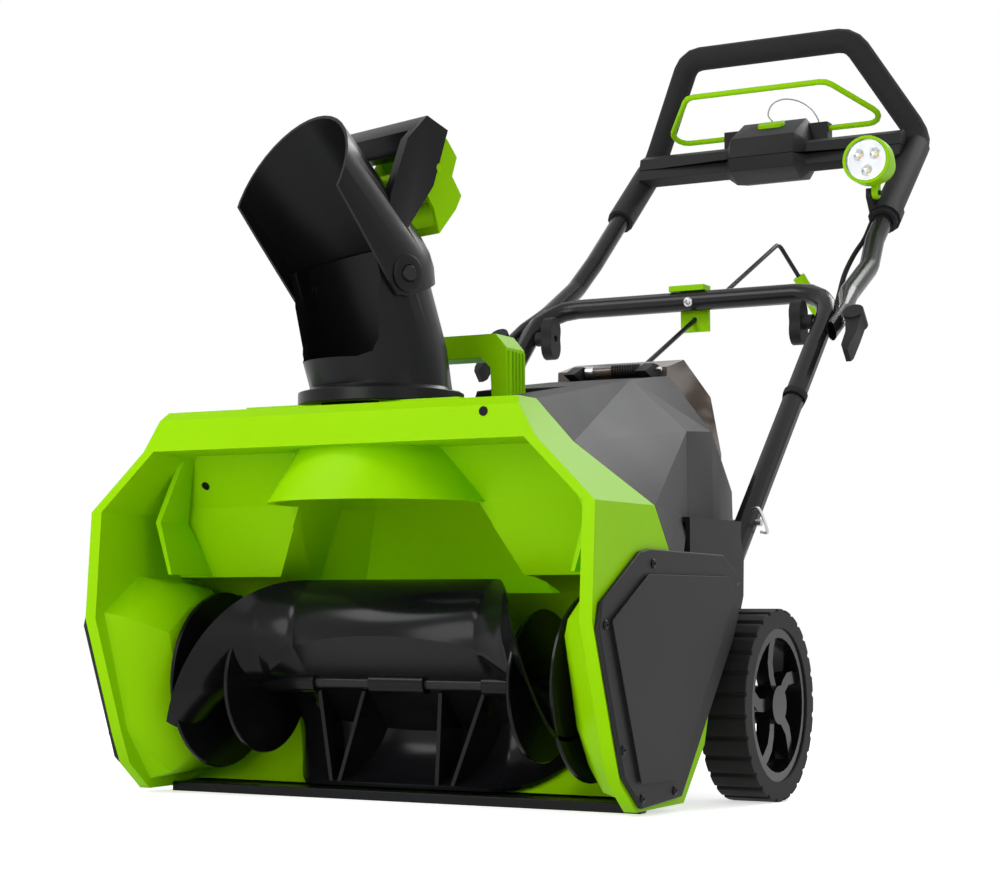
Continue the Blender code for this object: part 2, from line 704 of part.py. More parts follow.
def make_intake_cutter():
    arc = [(AUGER_Y + TROUGH_R * math.sin(a), AUGER_Z - TROUGH_R * math.cos(a))
           for a in (math.pi * i / 18 for i in range(19))]
    outline = [(-0.2, FLOOR_Z + FLOOR_WALL), *arc, (AUGER_Y - 0.003, AUGER_Z + TROUGH_R), BACK_WALL_MID,
               (BACK_WALL_TOP_Y, CEILING_Z), (-0.2, CEILING_Z)]
    cutter = BASE.place("intake_cutter", prism_x(outline, -CLEAR_HALF - 0.01, CLEAR_HALF + 0.01))
    slope = (HALF_WIDTH - LIP_X) / (CEILING_Z - SHOULDER_Z)
    inner_x = LIP_X - CHAMFER_WALL * math.hypot(1.0, slope)
    inner_z = CEILING_Z + 0.001 - (CLEAR_HALF - inner_x) / slope
    octagon = mirrored([(CLEAR_HALF, -0.05), (CLEAR_HALF, inner_z), (inner_x, CEILING_Z + 0.001)])
    keep(cutter, BASE.place("intake_octagon", prism_y(octagon, -0.3, 0.4)))
    return cutter


def make_pod(sign):
    """The bulge inside each side wall that carries the auger's bearing."""
    root = [(-0.034, 0.186), (0.020, 0.222), (0.112, 0.216), (0.170, 0.160), (0.182, 0.080), (0.132, 0.024),
            (0.042, 0.022), (0.004, 0.072)]
    middle = [(AUGER_Y + 0.90 * (y - AUGER_Y), AUGER_Z + 0.92 * (z - AUGER_Z)) for y, z in root]
    face = [(AUGER_Y + 0.62 * (y - AUGER_Y), AUGER_Z + 0.70 * (z - AUGER_Z)) for y, z in root]
    rings = [across(root, sign * (CLEAR_HALF + 0.004)), across(middle, sign * (CLEAR_HALF - 0.022)),
             across(face, sign * POD_FACE_X)]
    return BASE.place("pod", loft(rings))


def make_rib(sign):
    """The bent upright rib between the back wall and each shoulder."""
    line = [(0.206, CEILING_Z - 0.001), (0.235, 0.273), (0.219, 0.222), (0.215, 0.222), (0.229, 0.273),
            (0.200, CEILING_Z - 0.001)]
    front = [Vector((sign * x, 0.020, z)) for x, z in line]
    rear = [Vector((sign * x, BACK_WALL_TOP_Y - 0.002 + (CEILING_Z - z) * 0.5, z)) for x, z in line]
    return BASE.place("rib", loft([front, rear]))


make_intake_housing()


# Side covers: a plate over each side with a raised panel; the right one closes the belt drive
def make_side_cover(side, sign):
    cover = BASE.place(f"side_cover_{side}", prism_x(SIDE_OUTLINE, sign * SIDE_X,
                                                     sign * (SIDE_X + SIDE_PLATE)),
                       CHARCOAL)
    foot = SIDE_PANEL[::-1]
    inner = inset(foot, SIDE_PANEL_RISE)
    panel = loft([across(foot, sign * (SIDE_X + SIDE_PLATE - 0.001)),
                  across(foot, sign * (SIDE_X + SIDE_PLATE)),
                  across(inner, sign * (SIDE_X + SIDE_PLATE + SIDE_PANEL_RISE))])
    join(cover, BASE.place("raised_panel", panel))


for side_name, side_sign in SIDES.items():
    make_side_cover(side_name, side_sign)

SCRAPER_TOP = FLOOR_Z + FLOOR_WALL
SCRAPER = [(SCRAPER_Y[0], FLOOR_Z - SCRAPER_DROP), (SCRAPER_Y[0] + SCRAPER_LIP, FLOOR_Z - SCRAPER_DROP),
           (SCRAPER_Y[0] + SCRAPER_LIP + 0.004, FLOOR_Z), (SCRAPER_Y[1], FLOOR_Z),
           (SCRAPER_Y[1], SCRAPER_TOP),
           (SCRAPER_Y[0], SCRAPER_TOP)]
BASE.place("scraper_bar", prism_x(SCRAPER, GAP - CLEAR_HALF, CLEAR_HALF - GAP), GLOSS_BLACK)


# Motor housing: a shell that runs from the green seam to the rear seam, with a lower body over the axle
def hump_z(y):
    return HUMP_FRONT_Z + (HUMP_REAR_Z - HUMP_FRONT_Z) * (y - HUMP_FRONT_Y) / (COVER_REAR_Y - HUMP_FRONT_Y)


def front_section():
    right = [(0.205, 0.085), (0.228, 0.120), (HALF_WIDTH, 0.215), (HALF_WIDTH, SHOULDER_Z),
             (LIP_X, CEILING_Z),
             (LIP_TOP_X, LIP_TOP_Z)]
    return right + [(0.0, LIP_TOP_Z), (-0.02, LIP_TOP_Z)] + [(-x, z) for x, z in reversed(right)]


def rear_section():
    low_z = BODY_BOTTOM_Z + 0.003
    return [(0.180, low_z), (0.197, 0.120), (0.197, 0.190), (0.207, COVER_SEAM_Z), (0.206, 0.365),
            (0.145, 0.420),
            (0.020, 0.420), (0.008, 0.388), (-0.160, 0.388), (-0.206, 0.355), (-0.207, COVER_SEAM_Z),
            (-0.197, 0.190),
            (-0.197, 0.120), (-0.180, low_z)]


def make_motor_housing():
    seam_gap = 0.0006
    front, rear = front_section(), rear_section()

    def front_y(z):
        return seam_y(z) + seam_gap

    shell = loft([[Vector((x, front_y(z), z)) for x, z in front],
                  [Vector((x, REAR_SEAM_Y, z)) for x, z in rear]])
    housing = BASE.place("motor_housing", shell, CHARCOAL)
    low = [(BODY_HALF_LOW, BODY_BOTTOM_Z), (BODY_HALF_LOW, 0.195), (BODY_HALF_HIGH, 0.215),
           (BODY_HALF_HIGH, COVER_SEAM_Z - GAP)]
    body = BASE.place("lower_body", prism_y(mirrored(low), 0.255, BODY_REAR_Y))
    join(housing, body)
    for sign in SIDES.values():
        ends = sorted((sign * BELT_BOX_X, sign * HALF_WIDTH))
        join(housing, BASE.place("belt_box", prism_x(BELT_BOX, *ends)))
    front_in, rear_in = inset(front, SHELL_WALL), inset(rear, SHELL_WALL)
    lead = [(a[0] * 2 - b[0], a[1] * 2 - b[1]) for a, b in zip(front_in, rear_in)]
    hollow = loft([[Vector((x, 2 * front_y(z0) - REAR_SEAM_Y, z)) for (x, z), (x0, z0) in zip(lead, front)],
                   [Vector((x, front_y(z0), z)) for (x, z), (x0, z0) in zip(front_in, front)],
                   [Vector((x, REAR_SEAM_Y, z)) for x, z in rear_in],
                   [Vector((x, REAR_SEAM_Y + 0.02, z)) for x, z in rear_in]])
    body_hollow = prism_y(inset(mirrored(low), SHELL_WALL), 0.24, BODY_REAR_Y - SHELL_WALL)
    notch = box((-DECK_HALF - 0.001, -0.2, DECK_BOTTOM_Z - 0.004),
                (DECK_HALF + 0.001, DECK_REAR_Y + 0.001, 0.5))
    pocket = prism_x(belt_pocket(BELT_POCKET_GAP), PULLEY_X - 0.004, HALF_WIDTH + 0.05)
    axle_hole = rod_x(-0.3, 0.3, (WHEEL_Y, WHEEL_R), AXLE_R + GAP, 20)
    motor_room = rod_x(0.09, MOTOR_FACE_X + GAP, MOTOR_YZ, MOTOR_R + 0.001, 28)
    shaft_hole = rod_x(0.2, PULLEY_X, MOTOR_YZ, MOTOR_SHAFT_R + RUN_GAP, 16)
    cut(housing, *[BASE.place("motor_housing_cutter", mesh)
                   for mesh in (hollow, body_hollow, notch, pocket, axle_hole, motor_room, shaft_hole)])


make_motor_housing()


# Upper cover: the battery hump behind the seam, open at the front and under the lid
def make_upper_cover():
    start_y = REAR_SEAM_Y + GAP
    low_z = COVER_SEAM_Z + GAP
    front = [(0.207, low_z), (0.206, 0.365), (0.145, 0.420), (0.020, 0.420), (0.008, 0.388), (-0.160, 0.388),
             (-0.206, 0.355), (-0.207, low_z)]
    middle = [(0.193, low_z), (0.191, 0.372), (HUMP_RIGHT_X, HUMP_FRONT_Z), (HUMP_LEFT_X, HUMP_FRONT_Z),
              (-0.004, 0.385),
              (-0.150, 0.385), (-0.190, 0.350), (-0.193, low_z)]
    back = [(0.150, low_z), (0.149, 0.318), (HUMP_RIGHT_X - 0.005, HUMP_REAR_Z), (HUMP_LEFT_X, HUMP_REAR_Z),
            (-0.004, 0.325), (-0.120, 0.325), (-0.152, 0.300), (-0.155, low_z)]
    stations = [(start_y, front), (HUMP_FRONT_Y, middle), (COVER_REAR_Y, back)]
    cover = BASE.place("upper_cover", loft([[Vector((x, y, z)) for x, z in ring] for y, ring in stations]),
                       CHARCOAL)
    brackets = [BASE.place("lid_bracket", prism_x(
        [(0.370, hump_z(0.370) - 0.012), (0.4095, hump_z(0.4095) - 0.004), (0.4065, LID_HINGE_YZ[1] + 0.005),
         (0.394, LID_HINGE_YZ[1] + 0.006)], x - LID_BRACKET_WIDTH / 2, x + LID_BRACKET_WIDTH / 2))
        for x in LID_BRACKET_X]
    crank_yz = (PINION_TAIL.y, PINION_TAIL.z)
    stand = BASE.place("crank_stand", box((PINION_TAIL.x - CRANK_BRACKET_HALF, CRANK_BRACKET_Y[0], 0.335),
                                          (PINION_TAIL.x + CRANK_BRACKET_HALF, CRANK_BRACKET_Y[1],
                                           crank_yz[1] + CRANK_BRACKET_HALF)))
    hollow_rings = [[Vector((x, y, z)) for x, z in inset(ring, SHELL_WALL)] for y, ring in stations]
    hollow_rings[0] = [p - Y_AXIS * 0.02 for p in hollow_rings[0]]
    hollow_rings[-1] = [p - Y_AXIS * SHELL_WALL for p in hollow_rings[-1]]
    hollow = BASE.place("cover_hollow", loft(hollow_rings))
    mouth = BASE.place("battery_mouth", box((BATTERY_X[0] - 0.004, BATTERY_Y[0] - 0.004, 0.30),
                                            (BATTERY_X[1] + 0.004, BATTERY_Y[1] + 0.004, 0.50)))
    pin_hole = BASE.place("lid_pin_hole", rod_x(0.0, 0.2, LID_HINGE_YZ, LID_PIN_R + RUN_GAP, 12))
    join(cover, *brackets)
    cut(cover, hollow)
    join(cover, stand)
    shaft_hole = BASE.place("shaft_hole", rod(PINION_TAIL, PINION_NOSE, PINION_SHAFT_R + RUN_GAP, 12))
    cut(cover, mouth, pin_hole, shaft_hole)


CRANK_GUIDE_POINT = Vector(CRANK_AT_GUIDE)


def crank_point(y):
    return CRANK_GUIDE_POINT + Vector(CRANK_SLOPE) * (y - CRANK_GUIDE_POINT.y)


PINION_TAIL = Vector((crank_point(CRANK_FOOT_Y).x, CRANK_FOOT_Y - CROSS_JOINT_GAP,
                      crank_point(CRANK_FOOT_Y).z))
PINION_NOSE = Vector((0.0, CHUTE_Y + RING_R + 0.001, PINION_TAIL.z))
make_upper_cover()

BASE.place("lid_hinge_pin", rod_x(LID_BRACKET_X[0] - 0.012, LID_BRACKET_X[1] + 0.012, LID_HINGE_YZ,
                                  LID_PIN_R, 12), STEEL)


# Battery lid: a smoked shell over the hump's slanted mouth, hinged on its front edge
def make_lid():
    rim = [(LID_FRONT_Y, hump_z(LID_FRONT_Y) + GAP), (COVER_REAR_Y + 0.001,
                                                      hump_z(COVER_REAR_Y + 0.001) + GAP)]
    outline = rim + LID_CREST
    low_x, high_x = HUMP_LEFT_X + LID_SIDE_INSET, HUMP_RIGHT_X - LID_SIDE_INSET - 0.004
    lid = LID.place("battery_lid", prism_x(outline, low_x, high_x), SMOKE)
    inner = inset(outline, LID_WALL)
    drop = 0.03
    inner[0] = (inner[0][0], inner[0][1] - drop)
    inner[1] = (inner[1][0], inner[1][1] - drop)
    hollow = LID.place("lid_hollow", prism_x(inner, low_x + LID_WALL, high_x - LID_WALL))
    barrel_x = (LID_BRACKET_X[0] + LID_BRACKET_WIDTH / 2 + GAP,
                LID_BRACKET_X[1] - LID_BRACKET_WIDTH / 2 - GAP)
    barrel = LID.place("lid_barrel", rod_x(*barrel_x, LID_HINGE_YZ, LID_BARREL_R, 16))
    web = LID.place("lid_web", box((barrel_x[0], LID_HINGE_YZ[0], LID_HINGE_YZ[1] - 0.003),
                                   (barrel_x[1], LID_FRONT_Y + 0.0015, LID_HINGE_YZ[1] + 0.002)))
    pin_hole = LID.place("lid_barrel_hole", rod_x(0.0, 0.2, LID_HINGE_YZ, LID_PIN_R + RUN_GAP, 12))
    cut(lid, hollow)
    join(lid, barrel, web)
    cut(lid, pin_hole)


make_lid()

FLOOR_OF_BAY = COVER_SEAM_Z + GAP + SHELL_WALL + GAP
BATTERY = [(BATTERY_Y[0], FLOOR_OF_BAY), (BATTERY_Y[1], FLOOR_OF_BAY),
           (BATTERY_Y[1], hump_z(BATTERY_Y[1]) - BATTERY_SINK),
           (BATTERY_Y[0], hump_z(BATTERY_Y[0]) - BATTERY_SINK)]
BASE.place("battery_pack", prism_x(BATTERY, *BATTERY_X), CHARCOAL)


# Carry handle with the front bearing of the chute drive in its foot
def make_carry_handle():
    top, low = CARRY_TOP_Z, DECK_TOP_Z + GAP
    right_out = [(CARRY_HALF, low), (CARRY_HALF - 0.002, top - CARRY_CORNER),
                 (CARRY_HALF - CARRY_CORNER, top)]
    right_in = [(CARRY_HALF - CARRY_POST, low + 0.006), (CARRY_HALF - CARRY_POST - 0.002,
                                                         top - CARRY_GRIP - 0.010),
                (CARRY_HALF - CARRY_POST - 0.012, top - CARRY_GRIP)]
    handle = BASE.place("carry_handle", prism_y(mirrored(right_out), *CARRY_Y), GREEN)
    gap = BASE.place("carry_gap", prism_y(mirrored(right_in), CARRY_Y[0] - 0.01, CARRY_Y[1] + 0.01))
    boss = BASE.place("carry_boss", box((-0.010, CARRY_Y[0] + 0.004, low + 0.001),
                                        (0.010, CARRY_Y[1] - 0.004, PINION_TAIL.z + 0.008)))
    hole = BASE.place("carry_hole", rod(PINION_TAIL, PINION_NOSE, PINION_SHAFT_R + RUN_GAP, 12))
    cut(handle, gap)
    join(handle, boss)
    cut(handle, hole)


make_carry_handle()


# Auger: steel shaft, moulded rotor and belt pulley
def blade_line(x, turn):
    """The blade's section at x as (radius, angle): hub, crease, belly and tip, swept round at the ends."""
    sweep = max(0.0, (abs(x) - STRAIGHT_HALF) / (AUGER_HALF - STRAIGHT_HALF)) ** 1.3
    tip = math.radians(TIP_DEG + TIP_SWEEP_DEG * sweep + turn)
    crease = tip + math.radians(CREASE_LAG_DEG)
    arch = math.sqrt(max(0.0, 1.0 - (x / CREASE_HALF) ** 2))
    crease_r = AUGER_HUB_R * 1.4 + (CREASE_R - AUGER_HUB_R * 1.4) * arch
    belly_r = (crease_r + AUGER_R) / 2 + 0.004
    return [(SHAFT_R, crease), (crease_r, crease), (belly_r, (crease + tip) / 2), (AUGER_R, tip)]


def auger_point(x, radius, angle):
    return Vector((x, AUGER_Y + radius * math.cos(angle), AUGER_Z + radius * math.sin(angle)))


def blade_rings(turn):
    rings = []
    for i in range(BLADE_STEPS + 1):
        x = (AUGER_HALF - 0.001) * (2 * i / BLADE_STEPS - 1)
        line = [auger_point(x, r, a) for r, a in blade_line(x, turn)]
        front, back = [], []
        for k, point in enumerate(line):
            along = (line[min(k + 1, 3)] - line[max(k - 1, 0)]).normalized()
            normal = X_AXIS.cross(along)
            front.append(point + normal * (BLADE_THICK / 2))
            back.append(point - normal * (BLADE_THICK / 2))
        rings.append(front + back[::-1])
    return rings


def blade_rib(top_x, tip_x, turn):
    """A slanting web inside the bent blade, from the hub and the crease down to the tip."""
    half = DISC_THICK / 2
    hub, crease, belly, tip = (auger_point(0.0, r, a) for r, a in blade_line(top_x, turn))
    out = auger_point(0.0, AUGER_HUB_R * 0.8, math.radians(TIP_DEG + turn))
    inner = tip + (out - tip) * 0.03
    corners = [(hub, top_x), (crease, top_x), (belly, (top_x + tip_x) / 2), (inner, tip_x), (out, top_x)]
    side = 1 if turn == 180.0 else -1
    rings = [[Vector((side * x + shift, p.y, p.z)) for p, x in corners] for shift in (-half, half)]
    return loft(rings)


def make_auger():
    shaft_x = (-PULLEY_X + 0.004, PULLEY_X + PULLEY_WIDTH + 0.001)
    AUGER.place("auger_shaft", rod_x(*shaft_x, AUGER_YZ, SHAFT_R, 16), STEEL)
    rotor = AUGER.place("auger_rotor", loft(blade_rings(0.0)), GLOSS_BLACK)
    parts = [loft(blade_rings(180.0))]
    parts += [rod_x(*span, AUGER_YZ, AUGER_HUB_R, 20) for span in HUB_SPANS]
    for sign in SIDES.values():
        for disc_x, disc_r in ((END_DISC_X, END_DISC_R), (MID_DISC_X, MID_DISC_R)):
            ends = (sign * disc_x - DISC_THICK / 2, sign * disc_x + DISC_THICK / 2)
            parts.append(rod_x(*ends, AUGER_YZ, disc_r, 28))
    parts += [blade_rib(top_x, tip_x, turn) for turn in (0.0, 180.0) for top_x, tip_x in RIBS]
    join(rotor, *[AUGER.place("rotor_part", mesh) for mesh in parts])
    cut(rotor, AUGER.place("rotor_bore", rod_x(-0.3, 0.3, AUGER_YZ, SHAFT_R + GAP, 16)))
    pulley = tube_ring(PULLEY_X, PULLEY_X + PULLEY_WIDTH, AUGER_YZ, SHAFT_R + GAP, PULLEY_R, 32)
    AUGER.place("auger_pulley", pulley, STEEL)
    for side, sign in SIDES.items():
        inner, outer = POD_FACE_X + 0.001, PULLEY_X - 0.0045
        ends = sorted((sign * inner, sign * outer))
        BASE.place(f"auger_bearing_{side}", tube_ring(*ends, AUGER_YZ, SHAFT_R + GAP, BEARING_R, 24), STEEL)


make_auger()


# Motor and belt
def make_drive():
    front_x = MOTOR_FACE_X
    case = turned([(0.0, MOTOR_SHAFT_R + GAP), (0.0, MOTOR_R), (MOTOR_LENGTH, MOTOR_R), (MOTOR_LENGTH, 0.0),
                   (0.02, 0.0), (0.02, MOTOR_SHAFT_R + GAP)],
                  Vector((front_x, *MOTOR_YZ)), -X_AXIS, 24)
    BASE.place("motor", case, STEEL)
    shaft = rod_x(front_x - 0.019, PULLEY_X + 0.002, MOTOR_YZ, MOTOR_SHAFT_R, 16)
    wheel = MOTOR.place("motor_pulley", rod_x(PULLEY_X, PULLEY_X + PULLEY_WIDTH, MOTOR_YZ, MOTOR_PULLEY_R,
                                              24), STEEL)
    join(wheel, MOTOR.place("motor_shaft", shaft))
    belt_x = PULLEY_X + (PULLEY_WIDTH - BELT_WIDTH) / 2
    belt = BASE.place("drive_belt", prism_x(belt_pocket(0.0), belt_x, belt_x + BELT_WIDTH), RUBBER)
    cut(belt, BASE.place("belt_inside", prism_x(belt_pocket(RUN_GAP - BELT_THICK), belt_x - 0.01,
                                                belt_x + 0.03)))


make_drive()


# Wheels: block-tread tyre on a five-spoke rim
def make_wheel(side, sign):
    body = WHEELS[side]
    yz = (WHEEL_Y, WHEEL_R)
    outer_x, inner_x = sign * WHEEL_OUT_X, sign * (WHEEL_OUT_X - TYRE_WIDTH)
    outline = []
    for i in range(TREAD_BLOCKS):
        for share, radius in ((-0.36, WHEEL_R), (0.0, WHEEL_R), (0.36, WHEEL_R),
                              (0.44, WHEEL_R - TREAD_DEPTH),
                              (0.56, WHEEL_R - TREAD_DEPTH)):
            a = math.tau * (i + share) / TREAD_BLOCKS - math.pi / 2 - STANCE
            outline.append((WHEEL_Y + radius * math.cos(a), WHEEL_R + radius * math.sin(a)))
    tyre = body.place(f"wheel_tyre_{side}", prism_x(outline, *sorted((inner_x, outer_x))), RUBBER)
    cut(tyre, body.place("tyre_bore", rod_x(-0.4, 0.4, yz, RIM_R + GAP, 36)))
    ends = sorted((sign * (WHEEL_OUT_X - TYRE_WIDTH + 0.004), sign * (WHEEL_OUT_X - 0.002)))
    rim = body.place(f"wheel_rim_{side}", tube_ring(*ends, yz, RIM_R - RIM_BAND, RIM_R, 36), GLOSS_BLACK)
    hub_ends = sorted((sign * (BODY_HALF_LOW + 0.001), sign * (WHEEL_OUT_X - 0.001)))
    parts = [rod_x(*hub_ends, yz, HUB_R, 24)]
    for k in range(SPOKES):
        turn = math.tau * k / SPOKES + math.pi / 2
        left, right = [], []
        for i in range(5):
            share = i / 4
            radius = HUB_R * 0.7 + (RIM_R - RIM_BAND / 2 - HUB_R * 0.7) * share
            bow = SPOKE_BEND * math.sin(math.pi * share)
            for side_list, offset in ((left, bow + SPOKE_WIDTH / 2), (right, bow - SPOKE_WIDTH / 2)):
                y = WHEEL_Y + radius * math.cos(turn) - offset * math.sin(turn)
                z = WHEEL_R + radius * math.sin(turn) + offset * math.cos(turn)
                side_list.append((y, z))
        spoke_x = sorted((sign * (WHEEL_OUT_X - 0.020), sign * (WHEEL_OUT_X - 0.006)))
        parts.append(prism_x(left + right[::-1], *spoke_x))
    join(rim, *[body.place("rim_part", mesh) for mesh in parts])
    cut(rim, body.place("rim_bore", rod_x(*sorted((sign * 0.1, sign * (WHEEL_OUT_X - 0.004))), yz,
                                          AXLE_R + GAP, 20)))


for side_name, side_sign in SIDES.items():
    make_wheel(side_name, side_sign)
AXLE_END_X = WHEEL_OUT_X - 0.004 - GAP
BASE.place("wheel_axle", rod_x(-AXLE_END_X, AXLE_END_X, (WHEEL_Y, WHEEL_R), AXLE_R, 20), STEEL)


# Chute: turntable ring and a leaning tube with its front cut away
def make_chute():
    ring_low = DECK_TOP_Z + GAP
    ring = turned([(0.0, CHUTE_BORE_R), (0.0, RING_R), (RING_HEIGHT, RING_R), (RING_HEIGHT, CHUTE_BORE_R)],
                  Vector((0, CHUTE_Y, ring_low)), Z_AXIS, 48)
    CHUTE.place("chute_ring", ring, GLOSS_BLACK)
    low_z = RING_TOP_Z + GAP
    top_rise = PIVOT_RISE + 0.020
    outer, inner = [], []
    stations = [(Vector((0, CHUTE_Y, low_z)), Z_AXIS), (Vector((0, CHUTE_Y, low_z + 0.004)), Z_AXIS)]
    stations += [(CHUTE_BEND + CHUTE_UP * (0.012 + (top_rise - 0.012) * i / 2), CHUTE_UP) for i in range(3)]
    for centre, up in stations:
        outer.append(circle(centre, up, CHUTE_R, CHUTE_SIDES))
        inner.append(circle(centre, up, CHUTE_BORE_R, CHUTE_SIDES))
    outer[0] = circle(stations[0][0], Z_AXIS, CHUTE_R + 0.004, CHUTE_SIDES)
    tube = CHUTE.place("chute_tube", looped(outer + inner[::-1]), GLOSS_BLACK)
    corner = 0.016
    half = 0.055
    window = [(-half + corner, CUTOUT_BOTTOM_Z), (half - corner, CUTOUT_BOTTOM_Z)]
    window += [(half - corner * 0.3, CUTOUT_BOTTOM_Z + corner * 0.3), (half, CUTOUT_BOTTOM_Z + corner)]
    window += [(0.0625, PIVOT.z - 0.004), (0.064, 0.60), (-0.064, 0.60), (-0.0625, PIVOT.z - 0.004)]
    window += [(-half, CUTOUT_BOTTOM_Z + corner), (-half + corner * 0.3, CUTOUT_BOTTOM_Z + corner * 0.3)]
    front_cut = loft([[Vector((x, -0.15, z)) for x, z in window],
                      [Vector((x, CHUTE_Y - (z - CHUTE_LEAN_Z) * math.tan(LEAN) - 0.018, z)) for x,
                       z in window]])
    cut(tube, CHUTE.place("chute_front_cut", front_cut))
    for sign in SIDES.values():
        boss_x = sorted((sign * (CHUTE_BORE_R + 0.001), sign * (CHUTE_R + 0.002)))
        boss = CHUTE.place("pivot_boss", rod_x(*boss_x, (PIVOT.y, PIVOT.z), PIVOT_BOSS_R, 20))
        join(tube, boss)
    hole = CHUTE.place("pivot_hole", rod_x(-0.1, 0.1, (PIVOT.y, PIVOT.z), PIVOT_PIN_R + GAP, 16))
    cut(tube, hole)
    for side, sign in SIDES.items():
        head, end = HOOD_R + RUN_GAP, HOOD_R + 0.0035
        profile = [(CHUTE_BORE_R + 0.0012, 0.0), (CHUTE_BORE_R + 0.0012, PIVOT_PIN_R), (head, PIVOT_PIN_R),
                   (head, 0.008),
                   (end, 0.007), (end, 0.0)]
        pin = turned(profile, Vector((0, PIVOT.y, PIVOT.z)), sign * X_AXIS, 16)
        CHUTE.place(f"deflector_pin_{side}", pin, STEEL)


make_chute()


# Deflector: a half pipe that ends in a dome round the chute's top, with a grip frame on its back
def make_deflector():
    reach = 0.20

    def capsule(radius, end):
        dome = [(-radius * math.cos(a),
                 radius * math.sin(a)) for a in (math.pi / 2 * i / 8 for i in range(9))]
        return turned([*dome, (end, radius), (end, 0.0)], PIVOT, HOOD_OUT, 40)

    hood = DEFLECTOR.place("deflector_hood", capsule(HOOD_R, reach), GLOSS_BLACK)

    def at(out, up):
        p = PIVOT + HOOD_OUT * out + HOOD_UP * up
        return (p.y, p.z)

    notch = (HOOD_SIDE_REACH, -0.007)
    slope = (HOOD_TOP_REACH - HOOD_SIDE_REACH) / HOOD_R
    mouth = [at(*notch), at(HOOD_SIDE_REACH + 1.4 * HOOD_R * slope, 1.4 * HOOD_R), at(0.4, 0.2),
             at(0.4, -0.2)]
    below = [at(*notch), at(0.4, -0.05), (PIVOT.y - 0.2, PIVOT.z - 0.3), (PIVOT.y + 0.3, PIVOT.z - 0.3),
             (PIVOT.y + 0.12, PIVOT.z + 0.023), (PIVOT.y + 0.004, PIVOT.z - HOOD_CHEEK_DROP),
             (PIVOT.y - 0.010, PIVOT.z - HOOD_CHEEK_DROP)]
    plates = []
    for sign in SIDES.values():
        ends = sorted((sign * (GRIP_PLATE_X - GRIP_PLATE_THICK / 2),
                       sign * (GRIP_PLATE_X + GRIP_PLATE_THICK / 2)))
        plates.append(DEFLECTOR.place("grip_plate", prism_x(GRIP_PLATE, *ends)))
    bar = DEFLECTOR.place("grip_bar", prism_x(GRIP_BAR, -GRIP_PLATE_X, GRIP_PLATE_X))
    inner = DEFLECTOR.place("hood_inside", capsule(HOOD_IN_R, reach + 0.05))
    pin_hole = DEFLECTOR.place("hood_pin_hole", rod_x(-0.1, 0.1, (PIVOT.y, PIVOT.z), PIVOT_PIN_R + GAP, 16))
    trigger_hole = DEFLECTOR.place("trigger_hole", rod_x(-0.1, 0.1, TRIGGER_PIN_YZ, TRIGGER_PIN_R + GAP, 16))
    cut(hood, DEFLECTOR.place("mouth_cut", prism_x(mouth, -0.2, 0.2)),
        DEFLECTOR.place("below_cut", prism_x(below, -0.2, 0.2)))
    join(hood, *plates, bar)
    cut(hood, inner, pin_hole, trigger_hole)
    trigger = TRIGGER.place("deflector_trigger", prism_x(TRIGGER_SIDE, -TRIGGER_HALF, TRIGGER_HALF), GREEN)
    cut(trigger, TRIGGER.place("trigger_hollow", prism_x(TRIGGER_HOLLOW, TRIGGER_WALL - TRIGGER_HALF,
                                                         TRIGGER_HALF - TRIGGER_WALL)))
    ear = [(TRIGGER_PIN_YZ[0] + 0.008 * math.cos(a), TRIGGER_PIN_YZ[1] + 0.008 * math.sin(a))
           for a in (math.tau * i / 14 for i in range(14))]
    ear_ends = [sorted((s * (TRIGGER_HALF - TRIGGER_WALL), s * TRIGGER_HALF)) for s in SIDES.values()]
    pin_half = GRIP_PLATE_X + 0.003
    join(trigger, *[TRIGGER.place("trigger_ear", prism_x(ear, *ends)) for ends in ear_ends],
         TRIGGER.place("trigger_pin", rod_x(-pin_half, pin_half, TRIGGER_PIN_YZ, TRIGGER_PIN_R, 16)))


make_deflector()


# Chute drive: a pinion shaft over the deck, and the crank that turns it through a cross joint
PINION = Body("pinion_axis", BASE, PINION_TAIL)
CRANK_FOOT = crank_point(CRANK_FOOT_Y)
CRANK_BEND = crank_point(CRANK_BEND_Y)
CRANK = Body("crank_axis", BASE, CRANK_FOOT)
LEVEL = Vector((CRANK_DIR.y, -CRANK_DIR.x, 0.0)).normalized()
DOWNWARD = LEVEL.cross(CRANK_DIR).normalized()
if DOWNWARD.z > 0:
    DOWNWARD = -DOWNWARD
ARM_DIR = (LEVEL * CRANK_LEAN + DOWNWARD).normalized()
GRIP_BODY = Body("crank_grip_axis", CRANK, CRANK_BEND)


